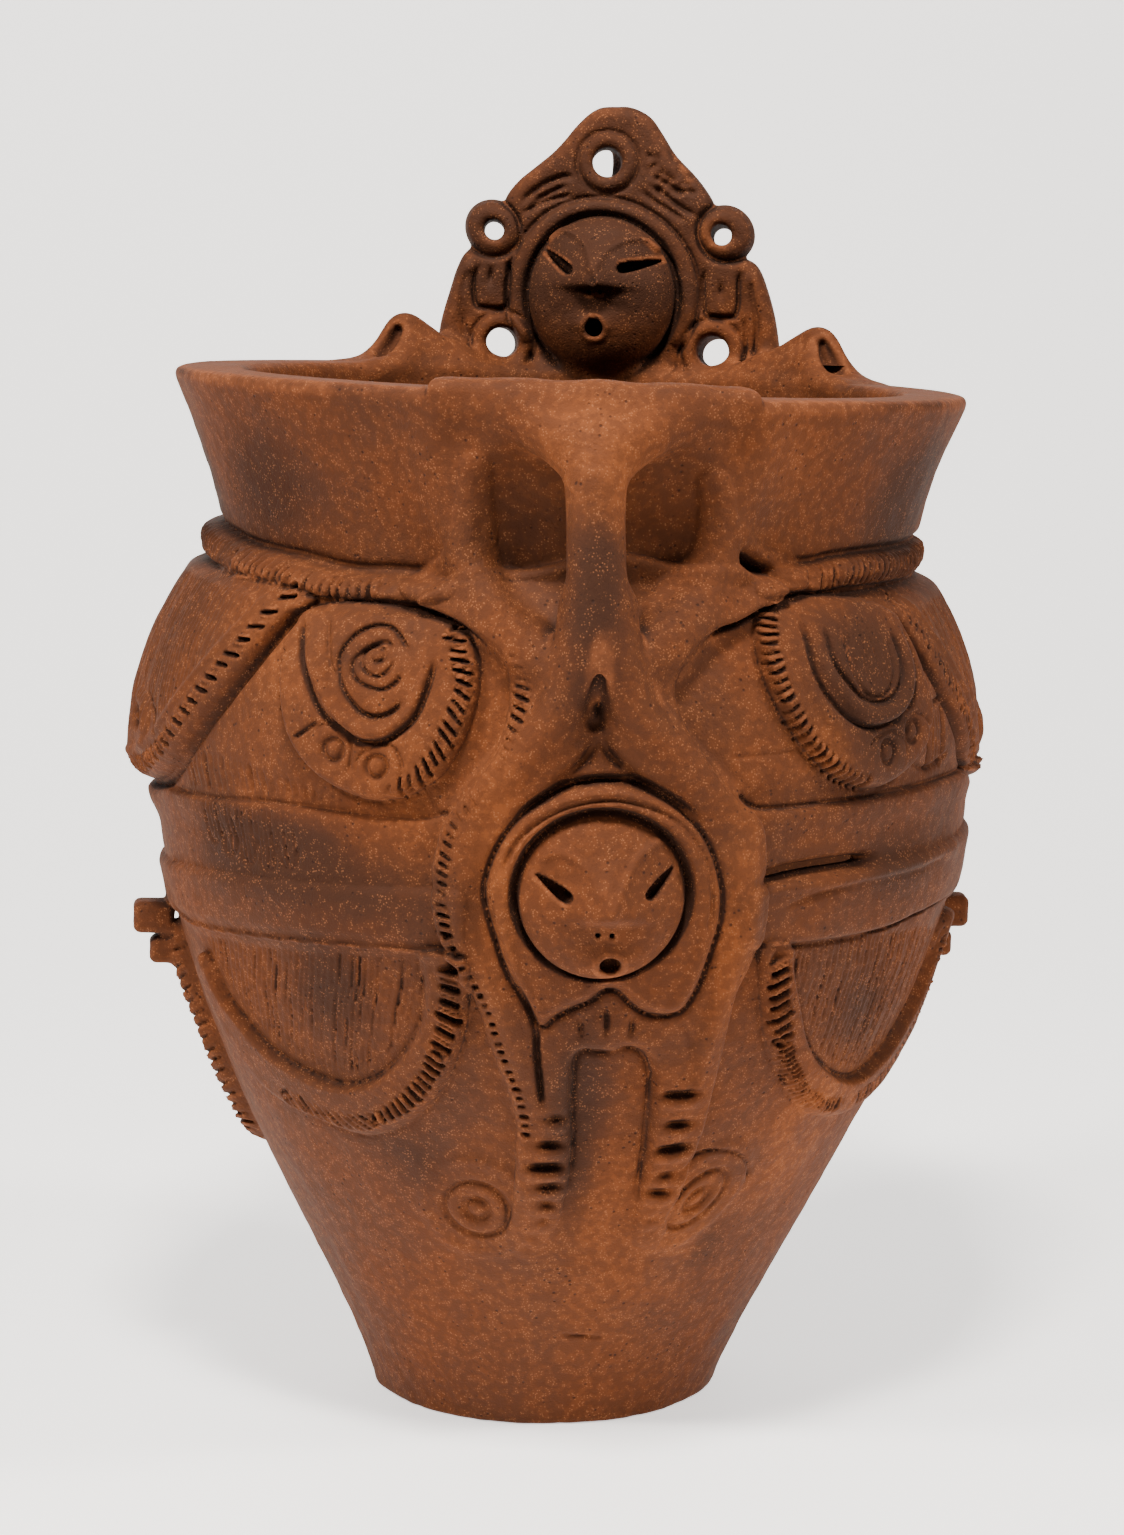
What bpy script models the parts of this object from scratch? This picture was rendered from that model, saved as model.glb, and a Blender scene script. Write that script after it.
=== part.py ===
"""Tall earthenware jar with a bridge handle, a belly mask and a pierced mask plaque on its rim.

Metres, +Z up. The origin is the centre of the underside. Azimuths are in degrees round the axis:
0 is the front, where the bridge handle and the belly mask are, and +90 is the +X side.
The jar is shaped upright on its own axis, then leaned as a whole and cut flat below.
"""
import math

import bmesh
import bpy
from mathutils import Matrix, Vector

# Turned vessel
FOOT_RADIUS = 0.0775
BELLY_RADIUS = 0.1830
NECK_RADIUS = 0.1535
RIM_RADIUS = 0.1765
BELLY_HEIGHT = 0.295
NECK_HEIGHT = 0.380
RIM_HEIGHT = 0.4565
WALL = 0.009
FLOOR = 0.012
LIP_WIDTH = 0.032
LIP_ROUND = 0.0025
TURN_STEPS = 44

# How the wall's curve rises: to the belly, from the belly to the neck, and out to the lip
BELLY_CURVE = 1.2
SHOULDER_CURVE = 2.4
LIP_CURVE = 1.5
FOOT_FLARE = 0.35

# Raised band round the belly, by the heights of its edges
BAND_LOW = 0.766 * BELLY_HEIGHT
BAND_HIGH = 0.868 * BELLY_HEIGHT
BAND_PROUD = 0.0025
BAND_EDGE = 0.0035

# The whole jar leans to its +X side, and its foot is cut flat
LEAN = math.radians(1.8)
FOOT_TRIM = 0.006

# Applied work on the wall
NECK_ROPE_RADIUS = 0.0068
PENDANT_ROPE_RADIUS = 0.0062
PENDANT_DROP = 0.078
PENDANT_HALF_ANGLE = 23.5
SIDE_PENDANT_DROP = 0.096
SIDE_PENDANT_HALF_ANGLE = 15.0
PAD_PROUD = 0.0075
SIDE_PAD_PROUD = 0.0130
FIGURE_PROUD = 0.0045
LUG_WIDTH = 0.016
LUG_DEPTH = 0.013
ARM_RADIUS = 0.0080
FINGER_RADIUS = 0.0042
FINGER_COUNT = 5
ROUNDEL_RADIUS = 0.0122
ROUNDEL_ROLL = 0.0032
SINK = 0.0005
PAD_AZIMUTHS = {"left": -31.5, "right": 38.0, "back_left": -142.0, "back_right": 142.0}
SIDE_PAD_AZIMUTH = 88.0
PENDANT_AZIMUTHS = {"left": -45.5, "right": 51.0, "back_left": -150.0, "back_right": 150.0}
SIDE_PENDANT_AZIMUTH = 103.0
LUG_AZIMUTH = 92.0
ARM_AZIMUTHS = {-1: -8.0, 1: 14.5}
ROUNDEL_PLACES = {"left": (-20.5, 0.37), "right": (23.5, 0.386)}

# Bridge handle in front of the neck
STRUT_AZIMUTH = -3.0
STRUT_RADIUS = 0.0125
STRUT_REACH = 0.032
EDGE_ROLL = 0.0100
HOOD_ROLL = 0.0095
HOOD_RISE = 0.0045

# Masks
MASK_RADIUS = 0.0335
MASK_BULGE = 0.024
MASK_HEIGHT = 0.871 * BELLY_HEIGHT
MASK_AZIMUTH = -0.6
RING_GAP = 0.009
RING_ROLL = 0.0055
EYE_LENGTH = 0.0135
EYE_OPENING = 0.0045
EYE_TILT = math.radians(26.0)
MOUTH_RADIUS = 0.0042
HOLE_DEPTH = 0.016

# Plaque on the rim
PLAQUE_AZIMUTH = 168.3
PLAQUE_THICKNESS = 0.019
PLAQUE_DISTANCE = 0.157
PLAQUE_RISE = 0.126
PLAQUE_HALF_WIDTH = 0.081
PLAQUE_EDGE = 0.003
EAR_RADIUS = 0.0122
EAR_HOLE_RADIUS = 0.005
PLAQUE_HOLE_RADIUS = 0.0072
HOLE_RING_ROLL = 0.0032

# Peaks on the rim beside the plaque
PEAK_RISE = 0.0235
PEAK_AZIMUTHS = {-1: 128.3, 1: 204.0}

CLAY = (0.30, 0.115, 0.05, 1.0)


def clear_scene():
    for old in list(bpy.data.objects):
        bpy.data.objects.remove(old, do_unlink=True)


def new_collection(name):
    collection = bpy.data.collections.new(name)
    bpy.context.scene.collection.children.link(collection)
    return collection


clear_scene()
PARTS = new_collection("Earthenware jar")
TOOLS = new_collection("Joining shapes")


def spread(start, end, count):
    return [start + (end - start) * k / (count - 1) for k in range(count)]


def body_radius(height):
    """Outer radius of the turned vessel, without the belly band."""
    if height <= BELLY_HEIGHT:
        swell = math.sin(math.pi / 2 * max(height, 0.0) / BELLY_HEIGHT) ** BELLY_CURVE
        below_foot = FOOT_FLARE * min(height, 0.0)
        return FOOT_RADIUS + (BELLY_RADIUS - FOOT_RADIUS) * swell + below_foot
    if height <= NECK_HEIGHT:
        share = (height - BELLY_HEIGHT) / (NECK_HEIGHT - BELLY_HEIGHT)
        return NECK_RADIUS + (BELLY_RADIUS - NECK_RADIUS) * (1 - share ** SHOULDER_CURVE)
    share = min((height - NECK_HEIGHT) / (RIM_HEIGHT - NECK_HEIGHT), 1.0)
    return NECK_RADIUS + (RIM_RADIUS - NECK_RADIUS) * share ** LIP_CURVE


def on_neck(share):
    """A height by its share of the neck: 0 where the neck starts and 1 on the lip."""
    return NECK_HEIGHT + share * (RIM_HEIGHT - NECK_HEIGHT)


def on_shoulder(share):
    """A height by its share of the way down from the neck to the belly band."""
    return NECK_HEIGHT - share * (NECK_HEIGHT - BAND_HIGH)


def wall_slope(height):
    """How far the outer wall leans out from upright at a height, in radians."""
    step = 0.005 * RIM_HEIGHT
    return math.atan2(body_radius(height + step) - body_radius(height - step), 2 * step)


def polar(azimuth, radius, height):
    angle = math.radians(azimuth)
    return Vector((radius * math.sin(angle), -radius * math.cos(angle), height))


def on_wall(azimuth, height, proud=0.0):
    return polar(azimuth, body_radius(height) + proud, height)


def facing(azimuth, place, tip=0.0):
    """A frame at a place: X runs to +azimuth, Y up the wall, Z straight out, tipped down by tip."""
    angle = math.radians(azimuth)
    across = Vector((math.cos(angle), math.sin(angle), 0))
    out = Vector((math.sin(angle), -math.cos(angle), 0))
    out = math.cos(tip) * out - math.sin(tip) * Vector((0, 0, 1))
    up = out.cross(across)
    frame = Matrix((across, up, out)).transposed().to_4x4()
    frame.translation = place
    return frame


def smooth_path(points, pieces, cyclic=False):
    """Catmull-Rom curve through points of any length, with pieces steps between neighbours."""
    count = len(points)
    path = []
    for span in range(count if cyclic else count - 1):
        if cyclic:
            before, start, end, after = (points[(span + k) % count] for k in (-1, 0, 1, 2))
        else:
            before, start = points[max(span - 1, 0)], points[span]
            end, after = points[span + 1], points[min(span + 2, count - 1)]
        for step in range(pieces):
            t = step / pieces
            path.append(tuple(
                0.5 * (2 * b + (c - a) * t + (2 * a - 5 * b + 4 * c - d) * t * t
                       + (3 * b - a - 3 * c + d) * t ** 3)
                for a, b, c, d in zip(before, start, end, after)))
    if not cyclic:
        path.append(tuple(points[-1]))
    return path


def set_tool(obj):
    """Keeps a shape that only joins or cuts out of the part itself."""
    for collection in list(obj.users_collection):
        collection.objects.unlink(obj)
    TOOLS.objects.link(obj)
    obj.hide_render = True
    obj.display_type = 'WIRE'
    return obj


def mesh_of_curve(name, curve, frame):
    """Turns a curve with a bevel or a fill into a closed mesh."""
    holder = bpy.data.objects.new(name + "_curve", curve)
    holder.matrix_world = frame
    TOOLS.objects.link(holder)
    bpy.context.view_layer.update()
    evaluated = holder.evaluated_get(bpy.context.evaluated_depsgraph_get())
    mesh = bpy.data.meshes.new_from_object(evaluated)
    shell = bmesh.new()
    shell.from_mesh(mesh)
    bmesh.ops.remove_doubles(shell, verts=shell.verts, dist=1e-6)
    bmesh.ops.recalc_face_normals(shell, faces=shell.faces)
    shell.to_mesh(mesh)
    shell.free()
    solid = bpy.data.objects.new(name, mesh)
    solid.matrix_world = holder.matrix_world
    bpy.data.objects.remove(holder, do_unlink=True)
    return set_tool(solid)


def poly_spline(curve, points, cyclic):
    spline = curve.splines.new('POLY')
    spline.points.add(len(points) - 1)
    for point, (x, y, z, radius) in zip(spline.points, points):
        point.co = (x, y, z, 1.0)
        point.radius = radius
    spline.use_cyclic_u = cyclic


def tube(name, points, cyclic=False, pieces=3, resolution=1):
    """A tube through (x, y, z, radius) points."""
    curve = bpy.data.curves.new(name, 'CURVE')
    curve.dimensions = '3D'
    curve.bevel_depth = 1.0
    curve.bevel_resolution = resolution
    curve.use_fill_caps = True
    poly_spline(curve, smooth_path(points, pieces, cyclic), cyclic)
    return mesh_of_curve(name, curve, Matrix.Identity(4))


def wall_tube(name, points, cyclic=False, pieces=3):
    """A tube through (azimuth, height, proud, radius) points on the wall."""
    places = [(*on_wall(a, h, proud), radius) for a, h, proud, radius in points]
    return tube(name, places, cyclic, pieces)


def ring(name, frame, across, up, roll, corners, sink):
    """A closed roll of clay round an oval, sunk a little below the frame's XY plane."""
    turns = [2 * math.pi * k / corners for k in range(corners)]
    places = [frame @ Vector((across * math.cos(a), up * math.sin(a), -sink)) for a in turns]
    return tube(name, [(*place, roll) for place in places], cyclic=True, pieces=2)


def slab(name, outline, depth, frame):
    """A flat outline of (x, y) points, filled and extruded by depth about the frame's XY plane."""
    curve = bpy.data.curves.new(name, 'CURVE')
    curve.dimensions = '2D'
    curve.fill_mode = 'BOTH'
    curve.extrude = depth / 2
    poly_spline(curve, [(x, y, 0.0, 1.0) for x, y in outline], True)
    return mesh_of_curve(name, curve, frame)


def place_primitive(name, size, frame):
    """Names the primitive just made, stretches its mesh and sets it in a frame."""
    made = bpy.context.object
    made.name = name
    made.data.transform(Matrix.Diagonal((*size, 1.0)))
    made.matrix_world = frame
    return set_tool(made)


def cylinder(name, radius, depth, frame, vertices, oval=1.0):
    bpy.ops.mesh.primitive_cylinder_add(vertices=vertices, radius=radius, depth=depth)
    return place_primitive(name, (1.0, oval, 1.0), frame)


def block(name, size, frame):
    bpy.ops.mesh.primitive_cube_add(size=1.0)
    return place_primitive(name, size, frame)


def dome(name, width, height, bulge, frame, segments=14):
    """A rounded boss that bulges along the frame's Z, with a shallow root behind it."""
    bpy.ops.mesh.primitive_uv_sphere_add(segments=segments, ring_count=segments // 2, radius=1.0)
    made = place_primitive(name, (width, height, bulge), frame)
    for vertex in made.data.vertices:
        if vertex.co.z < 0:
            vertex.co.z *= 0.3
    return made


def turned(name, profile):
    """A profile of (radius, height) points turned round the axis; it runs down its outer side."""
    mesh = bpy.data.meshes.new(name)
    edges = [(k, k + 1) for k in range(len(profile) - 1)]
    mesh.from_pydata([(radius, 0.0, height) for radius, height in profile], edges, [])
    made = bpy.data.objects.new(name, mesh)
    screw = made.modifiers.new("Turn", 'SCREW')
    screw.axis = 'Z'
    screw.steps = TURN_STEPS
    screw.render_steps = TURN_STEPS
    screw.use_merge_vertices = True
    screw.merge_threshold = 1e-5
    screw.use_smooth_shade = True
    return made


def boolean(target, other, operation):
    modifier = target.modifiers.new(other.name, 'BOOLEAN')
    modifier.operation = operation
    modifier.solver = 'EXACT'
    modifier.object = other


def outer_profile(proud):
    """(radius, height) points down the outside below the neck, proud of the wall, to the axis."""
    half_edge = BAND_EDGE / 2
    plain = spread(NECK_HEIGHT, BELLY_HEIGHT, 6) + spread(BELLY_HEIGHT, 0.0, 8)[1:]
    clear = [h for h in plain if h > BAND_HIGH + BAND_EDGE or h < BAND_LOW - BAND_EDGE]
    raised = [BAND_HIGH - half_edge, (BAND_LOW + BAND_HIGH) / 2, BAND_LOW + half_edge]
    beside = [BAND_HIGH + half_edge, BAND_LOW - half_edge]
    points = [(body_radius(h) + proud, h) for h in clear + beside]
    points += [(body_radius(h) + proud + BAND_PROUD, h) for h in raised]
    points.sort(key=lambda point: -point[1])
    return points + [(body_radius(-FOOT_TRIM) + proud, -FOOT_TRIM), (0.0, -FOOT_TRIM)]


def lip_profile():
    """(radius, height) points from the lip's top, over its rounded outer edge and down the neck."""
    corner = [(RIM_RADIUS - LIP_ROUND * (1 - math.sin(a)), RIM_HEIGHT - LIP_ROUND * (1 - math.cos(a)))
              for a in spread(0.0, math.pi / 2, 3)]
    neck_rows = spread(RIM_HEIGHT, NECK_HEIGHT, 6)[1:-1]
    return [(0.0, RIM_HEIGHT)] + corner + [(body_radius(h), h) for h in neck_rows]


def vessel():
    made = turned("jar", lip_profile() + outer_profile(0.0))
    PARTS.objects.link(made)
    return made


def cavity():
    """The hollow inside: a wall's thickness off the belly, and upright inside the thick lip."""
    throat = RIM_RADIUS - LIP_WIDTH
    above = RIM_HEIGHT + LIP_WIDTH
    mouth = [(0.0, above), (throat + LIP_ROUND, above), (throat + LIP_ROUND, RIM_HEIGHT),
             (throat, RIM_HEIGHT - LIP_ROUND), (throat, NECK_HEIGHT)]
    inside = []
    for height in spread(NECK_HEIGHT, FLOOR + WALL, 9)[1:]:
        slant = wall_slope(min(height, BELLY_HEIGHT))
        inside.append((body_radius(height) - WALL / math.cos(slant), height))
    floor = [(body_radius(FLOOR) - 2 * WALL, FLOOR), (0.0, FLOOR)]
    return set_tool(turned("cavity", mouth + inside + floor))


def body_surface(name, proud):
    """The body grown by the thickness of what is laid on it."""
    top = NECK_HEIGHT + 4 * SINK
    return set_tool(turned(name, [(0.0, top), (NECK_RADIUS * 0.9, top)] + outer_profile(proud)))


def wrapped_pad(name, middle, height, outline, surface):
    """A pad of (azimuth, height) corners: a prism cut to the surface that its outside follows."""
    frame = facing(middle, on_wall(middle, height))
    flat = []
    for azimuth, level in smooth_path(outline, 2, cyclic=True):
        local = frame.inverted() @ on_wall(azimuth, level)
        flat.append((local.x, local.y))
    prism = slab(name, flat, BELLY_RADIUS, frame)
    boolean(prism, surface, 'INTERSECT')
    return prism


def pads():
    """Four drop-shaped pads and two wide side pads, hung under the neck rope."""
    surface = body_surface("pad_surface", PAD_PROUD)
    side_surface = body_surface("side_pad_surface", SIDE_PAD_PROUD)
    drop = [(-14.5, 0.11), (0.0, 0.07), (13.0, 0.14), (13.5, 0.34), (10.0, 0.55), (2.0, 0.69),
            (-6.0, 0.68), (-12.5, 0.55), (-15.5, 0.34)]
    wide = [(-34.0, 0.11), (0.0, 0.05), (34.0, 0.11), (29.0, 0.32), (15.0, 0.63), (3.0, 0.81),
            (-3.0, 0.81), (-15.0, 0.63), (-29.0, 0.32)]
    made = []
    for name, middle in PAD_AZIMUTHS.items():
        turn = -1 if middle > 0 else 1
        outline = [(middle + turn * a, on_shoulder(share)) for a, share in drop]
        made.append(wrapped_pad("pad_" + name, middle, on_shoulder(0.4), outline, surface))
    for name, middle in (("left", -SIDE_PAD_AZIMUTH), ("right", SIDE_PAD_AZIMUTH)):
        outline = [(middle + a, on_shoulder(share)) for a, share in wide]
        made.append(wrapped_pad("side_pad_" + name, middle, on_shoulder(0.45), outline, side_surface))
    return made


def figure_field():
    """The raised field of the figure, from the neck down to its fingers."""
    surface = body_surface("figure_surface", FIGURE_PROUD)
    shoulders = [(-13.0, on_shoulder(0.20)), (-12.0, on_shoulder(0.44))]
    left = [(-19.0, 0.96), (-21.0, 0.85), (-17.0, 0.72), (-11.5, 0.57), (-12.0, 0.44), (-12.0, 0.33)]
    between = [(-4.5, 0.31), (-2.5, 0.44), (-2.5, 0.57), (1.5, 0.62), (8.0, 0.60), (9.5, 0.44)]
    right = [(12.0, 0.32), (19.0, 0.33), (20.0, 0.44), (19.0, 0.57), (19.0, 0.72), (20.0, 0.85), (20.0, 0.96)]
    below = [(a, share * BELLY_HEIGHT) for a, share in left + between + right]
    outline = shoulders + below + [(-a, h) for a, h in reversed(shoulders)]
    return [wrapped_pad("figure_field", 0.0, 0.75 * BELLY_HEIGHT, outline, surface)]


def neck_rope():
    """A roll of clay round the neck, open at the front between the webs of the bridge handle."""
    left = [(-25.0, -0.4), (-45.0, -0.3), (-90.0, 0.9), (-135.0, 0.6), (-180.0, 0.2)]
    right = [(-225.0, 0.2), (-270.0, 0.3), (-315.0, 0.6), (-333.0, 0.8)]
    points = [(a, NECK_HEIGHT + rise * NECK_ROPE_RADIUS, 0.2 * NECK_ROPE_RADIUS, NECK_ROPE_RADIUS)
              for a, rise in left + right]
    return [wall_tube("neck_rope", points)]


def pendant(name, middle, top, half_angle, drop):
    """A U of rope that hangs on the wall from a height."""
    points = [(middle - half_angle, top, -4 * SINK, PENDANT_ROPE_RADIUS)]
    for turn in spread(-60.0, 60.0, 5):
        angle = math.radians(turn)
        rise = 0.62 * drop * (1 - math.cos(angle)) ** 0.8
        points.append((middle + half_angle * math.sin(angle), top - drop + rise, 0.0, PENDANT_ROPE_RADIUS))
    points.append((middle + half_angle, top, -4 * SINK, PENDANT_ROPE_RADIUS))
    return wall_tube(name, points, pieces=2)


def pendants():
    """Four wide U pendants under the belly band, and a deeper narrow one on each side."""
    made = [pendant("pendant_" + name, middle, BAND_LOW, PENDANT_HALF_ANGLE, PENDANT_DROP)
            for name, middle in PENDANT_AZIMUTHS.items()]
    for name, middle in (("left", -SIDE_PENDANT_AZIMUTH), ("right", SIDE_PENDANT_AZIMUTH)):
        made.append(pendant("side_pendant_" + name, middle, BAND_LOW - LUG_WIDTH,
                            SIDE_PENDANT_HALF_ANGLE, SIDE_PENDANT_DROP))
    return made


def lugs():
    """Two small stacked blocks under the belly band on each side."""
    made = []
    for side in (-1, 1):
        for row, share in enumerate((1.0, 0.8)):
            height = BAND_LOW - LUG_WIDTH * (0.6 - 0.3 * side + row)
            size = (share * LUG_WIDTH, share * LUG_WIDTH, share * LUG_DEPTH)
            frame = facing(side * LUG_AZIMUTH, on_wall(side * LUG_AZIMUTH, height, 0.15 * LUG_DEPTH))
            made.append(block(f"lug_{side}_{row}", size, frame))
    return made


def bridge():
    """The strut before the neck, with a roll of clay round each opening and two legs below."""
    stand = NECK_RADIUS + STRUT_REACH
    middle = STRUT_AZIMUTH
    strut = [(middle + 0.5, RIM_RADIUS - 0.5 * STRUT_RADIUS, on_neck(0.84), 1.28),
             (middle, stand, on_neck(0.63), 1.14),
             (middle, stand + 0.3 * STRUT_RADIUS, on_neck(0.40), 1.0),
             (middle + 0.5, stand + 0.5 * STRUT_RADIUS, on_neck(-0.13), 1.08),
             (middle + 1.5, stand + 0.3 * STRUT_RADIUS, on_shoulder(0.40), 1.2),
             (middle + 2.0, stand - 0.3 * STRUT_RADIUS, on_shoulder(0.64), 1.0)]
    made = [tube("strut", [(*polar(a, r, h), STRUT_RADIUS * share) for a, r, h, share in strut],
                 resolution=2)]
    opening = [(4.0, stand - 0.6 * EDGE_ROLL, on_neck(0.74), 1.1),
               (12.5, RIM_RADIUS - EDGE_ROLL, on_neck(0.80), 1.1),
               (17.5, NECK_RADIUS + 0.7 * EDGE_ROLL, on_neck(0.50), 0.85),
               (17.0, NECK_RADIUS + 0.8 * EDGE_ROLL, on_neck(0.05), 0.95),
               (10.0, NECK_RADIUS + 2.0 * EDGE_ROLL, on_shoulder(0.18), 1.1),
               (3.5, stand - 0.4 * EDGE_ROLL, on_shoulder(0.31), 1.0)]
    leg = [(3.0, 1.10, 1.4, 1.0), (9.0, 1.03, 0.9, 0.95), (15.0, 0.93, 0.2, 0.9), (17.0, 0.84, 0.0, 0.85),
           (15.5, 0.73, -0.1, 0.75)]
    for side in (-1, 1):
        edge = [(*polar(middle + side * a, r, h), EDGE_ROLL * share) for a, r, h, share in opening]
        made.append(tube(f"opening_edge_{side}", edge))
        made.append(wall_tube(f"leg_{side}", [(-1.0 + side * a, h * BELLY_HEIGHT, proud * EDGE_ROLL,
                                               EDGE_ROLL * share) for a, h, proud, share in leg], pieces=2))
    return made


def hood():
    """The raised front length of the lip, over the bridge."""
    points = [(*polar(a, RIM_RADIUS - 0.7 * HOOD_ROLL, RIM_HEIGHT + HOOD_RISE - HOOD_ROLL), HOOD_ROLL)
              for a in spread(-25.0, 18.5, 6)]
    return [tube("hood", points, pieces=1)]


def mask(name, frame, width, height, mouth_drop):
    """A domed face with its ring of clay, and the cutters for its eyes and mouth."""
    face = dome(name, width, height, MASK_BULGE, frame)
    collar = ring(name + "_ring", frame, width + RING_GAP, height + RING_GAP, RING_ROLL, 8, SINK)
    cutters = []
    for side in (-1, 1):
        tilt = Matrix.Rotation(side * EYE_TILT, 4, 'Z')
        spot = frame @ Matrix.Translation((0.58 * side * width, 0.13 * height, 0.7 * MASK_BULGE))
        cutters.append(cylinder(f"{name}_eye_{side}", EYE_LENGTH / 2, HOLE_DEPTH, spot @ tilt, 8,
                                EYE_OPENING / EYE_LENGTH))
    spot = frame @ Matrix.Translation((0.0, -mouth_drop * height, 0.7 * MASK_BULGE))
    cutters.append(cylinder(name + "_mouth", MOUTH_RADIUS, HOLE_DEPTH, spot, 10))
    return [face, collar], cutters


def belly_mask():
    """The mask on the belly with the tab of clay that hangs under its chin."""
    tip = -0.4 * wall_slope(MASK_HEIGHT)
    frame = facing(MASK_AZIMUTH, on_wall(MASK_AZIMUTH, MASK_HEIGHT, 0.3 * FIGURE_PROUD), tip)
    shapes, cutters = mask("belly_mask", frame, MASK_RADIUS, MASK_RADIUS, 0.62)
    tab = [(1.0, MASK_HEIGHT - drop * MASK_RADIUS, proud * RING_ROLL, roll * RING_ROLL)
           for drop, proud, roll in [(1.2, 0.5, 1.5), (1.7, 0.4, 1.6), (2.0, 0.0, 1.1)]]
    return shapes + [wall_tube("chin_tab", tab, pieces=2)], cutters


def arms():
    """Two arms under the mask with a row of finger bars below each."""
    made = []
    for side, azimuth in ARM_AZIMUTHS.items():
        arm = [(azimuth, 0.70 * BELLY_HEIGHT, 0.1 * ARM_RADIUS, ARM_RADIUS),
               (azimuth + side, 0.54 * BELLY_HEIGHT, 0.1 * ARM_RADIUS, 0.85 * ARM_RADIUS)]
        made.append(wall_tube(f"arm_{side}", arm))
        for row, share in enumerate(spread(0.51, 0.35, FINGER_COUNT)):
            height = share * BELLY_HEIGHT
            bar = [(azimuth + side * 4.5, height - 0.2 * FINGER_RADIUS, 0.35 * FINGER_RADIUS, FINGER_RADIUS),
                   (azimuth - side * 4.0, height + 0.7 * FINGER_RADIUS, 0.35 * FINGER_RADIUS, FINGER_RADIUS)]
            made.append(wall_tube(f"finger_{side}_{row}", bar, pieces=1))
    return made


def roundels():
    """A small ringed boss beside each hand."""
    made = []
    for name, (azimuth, share) in ROUNDEL_PLACES.items():
        height = share * BELLY_HEIGHT
        frame = facing(azimuth, on_wall(azimuth, height), -wall_slope(height))
        made.append(ring("roundel_" + name, frame, ROUNDEL_RADIUS, ROUNDEL_RADIUS, ROUNDEL_ROLL, 6, 0.0))
        made.append(dome("roundel_boss_" + name, 0.4 * ROUNDEL_RADIUS, 0.4 * ROUNDEL_RADIUS,
                         ROUNDEL_ROLL, frame, segments=8))
    return made


def plaque():
    """The pierced plaque: a peaked plate with two ears, a mask and five holes."""
    frame = facing(PLAQUE_AZIMUTH + 180.0, polar(PLAQUE_AZIMUTH, PLAQUE_DISTANCE, RIM_HEIGHT))
    outline = [(-1.0, -0.07), (-1.0, 0.12), (-0.95, 0.30), (-0.86, 0.43), (-0.62, 0.50),
               (-0.56, 0.59), (-0.59, 0.66), (-0.42, 0.77), (-0.25, 0.90), (-0.09, 0.985), (0.06, 1.0),
               (0.17, 0.95), (0.30, 0.87), (0.44, 0.75), (0.60, 0.66), (0.575, 0.60), (0.60, 0.50),
               (0.86, 0.42), (0.96, 0.26), (1.0, 0.08), (1.0, -0.07)]

    def spot(x, y, depth=0.0):
        place = (PLAQUE_HALF_WIDTH * x, PLAQUE_RISE * y, depth)
        return frame @ Matrix.Translation(place)

    corners = [(PLAQUE_HALF_WIDTH * x, PLAQUE_RISE * y) for x, y in outline]
    plate = slab("plaque", corners, PLAQUE_THICKNESS, frame)
    edge = plate.modifiers.new("Rounded edges", 'BEVEL')
    edge.width = PLAQUE_EDGE
    edge.segments = 1
    edge.limit_method = 'ANGLE'
    front = PLAQUE_THICKNESS / 2
    through = 2 * PLAQUE_THICKNESS
    shapes, cutters = [plate], []
    for number, (x, y) in enumerate([(-0.70, 0.53), (0.675, 0.515)]):
        shapes.append(cylinder(f"ear_{number}", EAR_RADIUS, 0.8 * PLAQUE_THICKNESS, spot(x, y), 16))
        cutters.append(cylinder(f"ear_hole_{number}", EAR_HOLE_RADIUS, through, spot(x, y), 12))
    for number, (x, y) in enumerate([(-0.63, 0.076), (0.635, 0.068), (-0.01, 0.787)]):
        cutters.append(cylinder(f"plaque_hole_{number}", PLAQUE_HOLE_RADIUS, through, spot(x, y), 14))
        around = PLAQUE_HOLE_RADIUS + 1.25 * HOLE_RING_ROLL
        shapes.append(ring(f"hole_ring_{number}", spot(x, y, front), around, around, HOLE_RING_ROLL,
                           6, SINK))
    mask_shapes, mask_cutters = mask("plaque_mask", spot(-0.035, 0.281, front), 1.05 * MASK_RADIUS,
                                     1.1 * MASK_RADIUS, 0.45)
    return shapes + mask_shapes, cutters + mask_cutters


def peaks():
    """A pinched peak on each side of the plaque, which runs out along the rim."""
    middle = RIM_RADIUS - LIP_WIDTH / 2
    ridge = [(-16.0, -0.25, 0.30), (-8.0, 0.10, 0.38), (-3.0, 0.50, 0.32), (0.0, 0.78, 0.21),
             (2.8, 0.45, 0.29), (7.0, -0.08, 0.30), (12.0, -0.32, 0.28)]
    made = []
    for side, apex in PEAK_AZIMUTHS.items():
        points = []
        for along, rise, roll in ridge:
            azimuth = apex + side * along
            points.append((*polar(azimuth, middle, RIM_HEIGHT + PEAK_RISE * rise), PEAK_RISE * roll))
        made.append(tube(f"peak_{side}", points, pieces=2))
    return made


def ground():
    """Everything below the ground, which cuts the leaning foot flat."""
    size = 4 * RIM_RADIUS
    return block("ground", (size, size, size), Matrix.Translation((0, 0, -size / 2)))


def clay():
    material = bpy.data.materials.new("Earthenware")
    material.use_nodes = True
    shader = material.node_tree.nodes["Principled BSDF"]
    shader.inputs["Base Color"].default_value = CLAY
    shader.inputs["Roughness"].default_value = 0.85
    shader.inputs["Metallic"].default_value = 0.0
    return material


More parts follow.
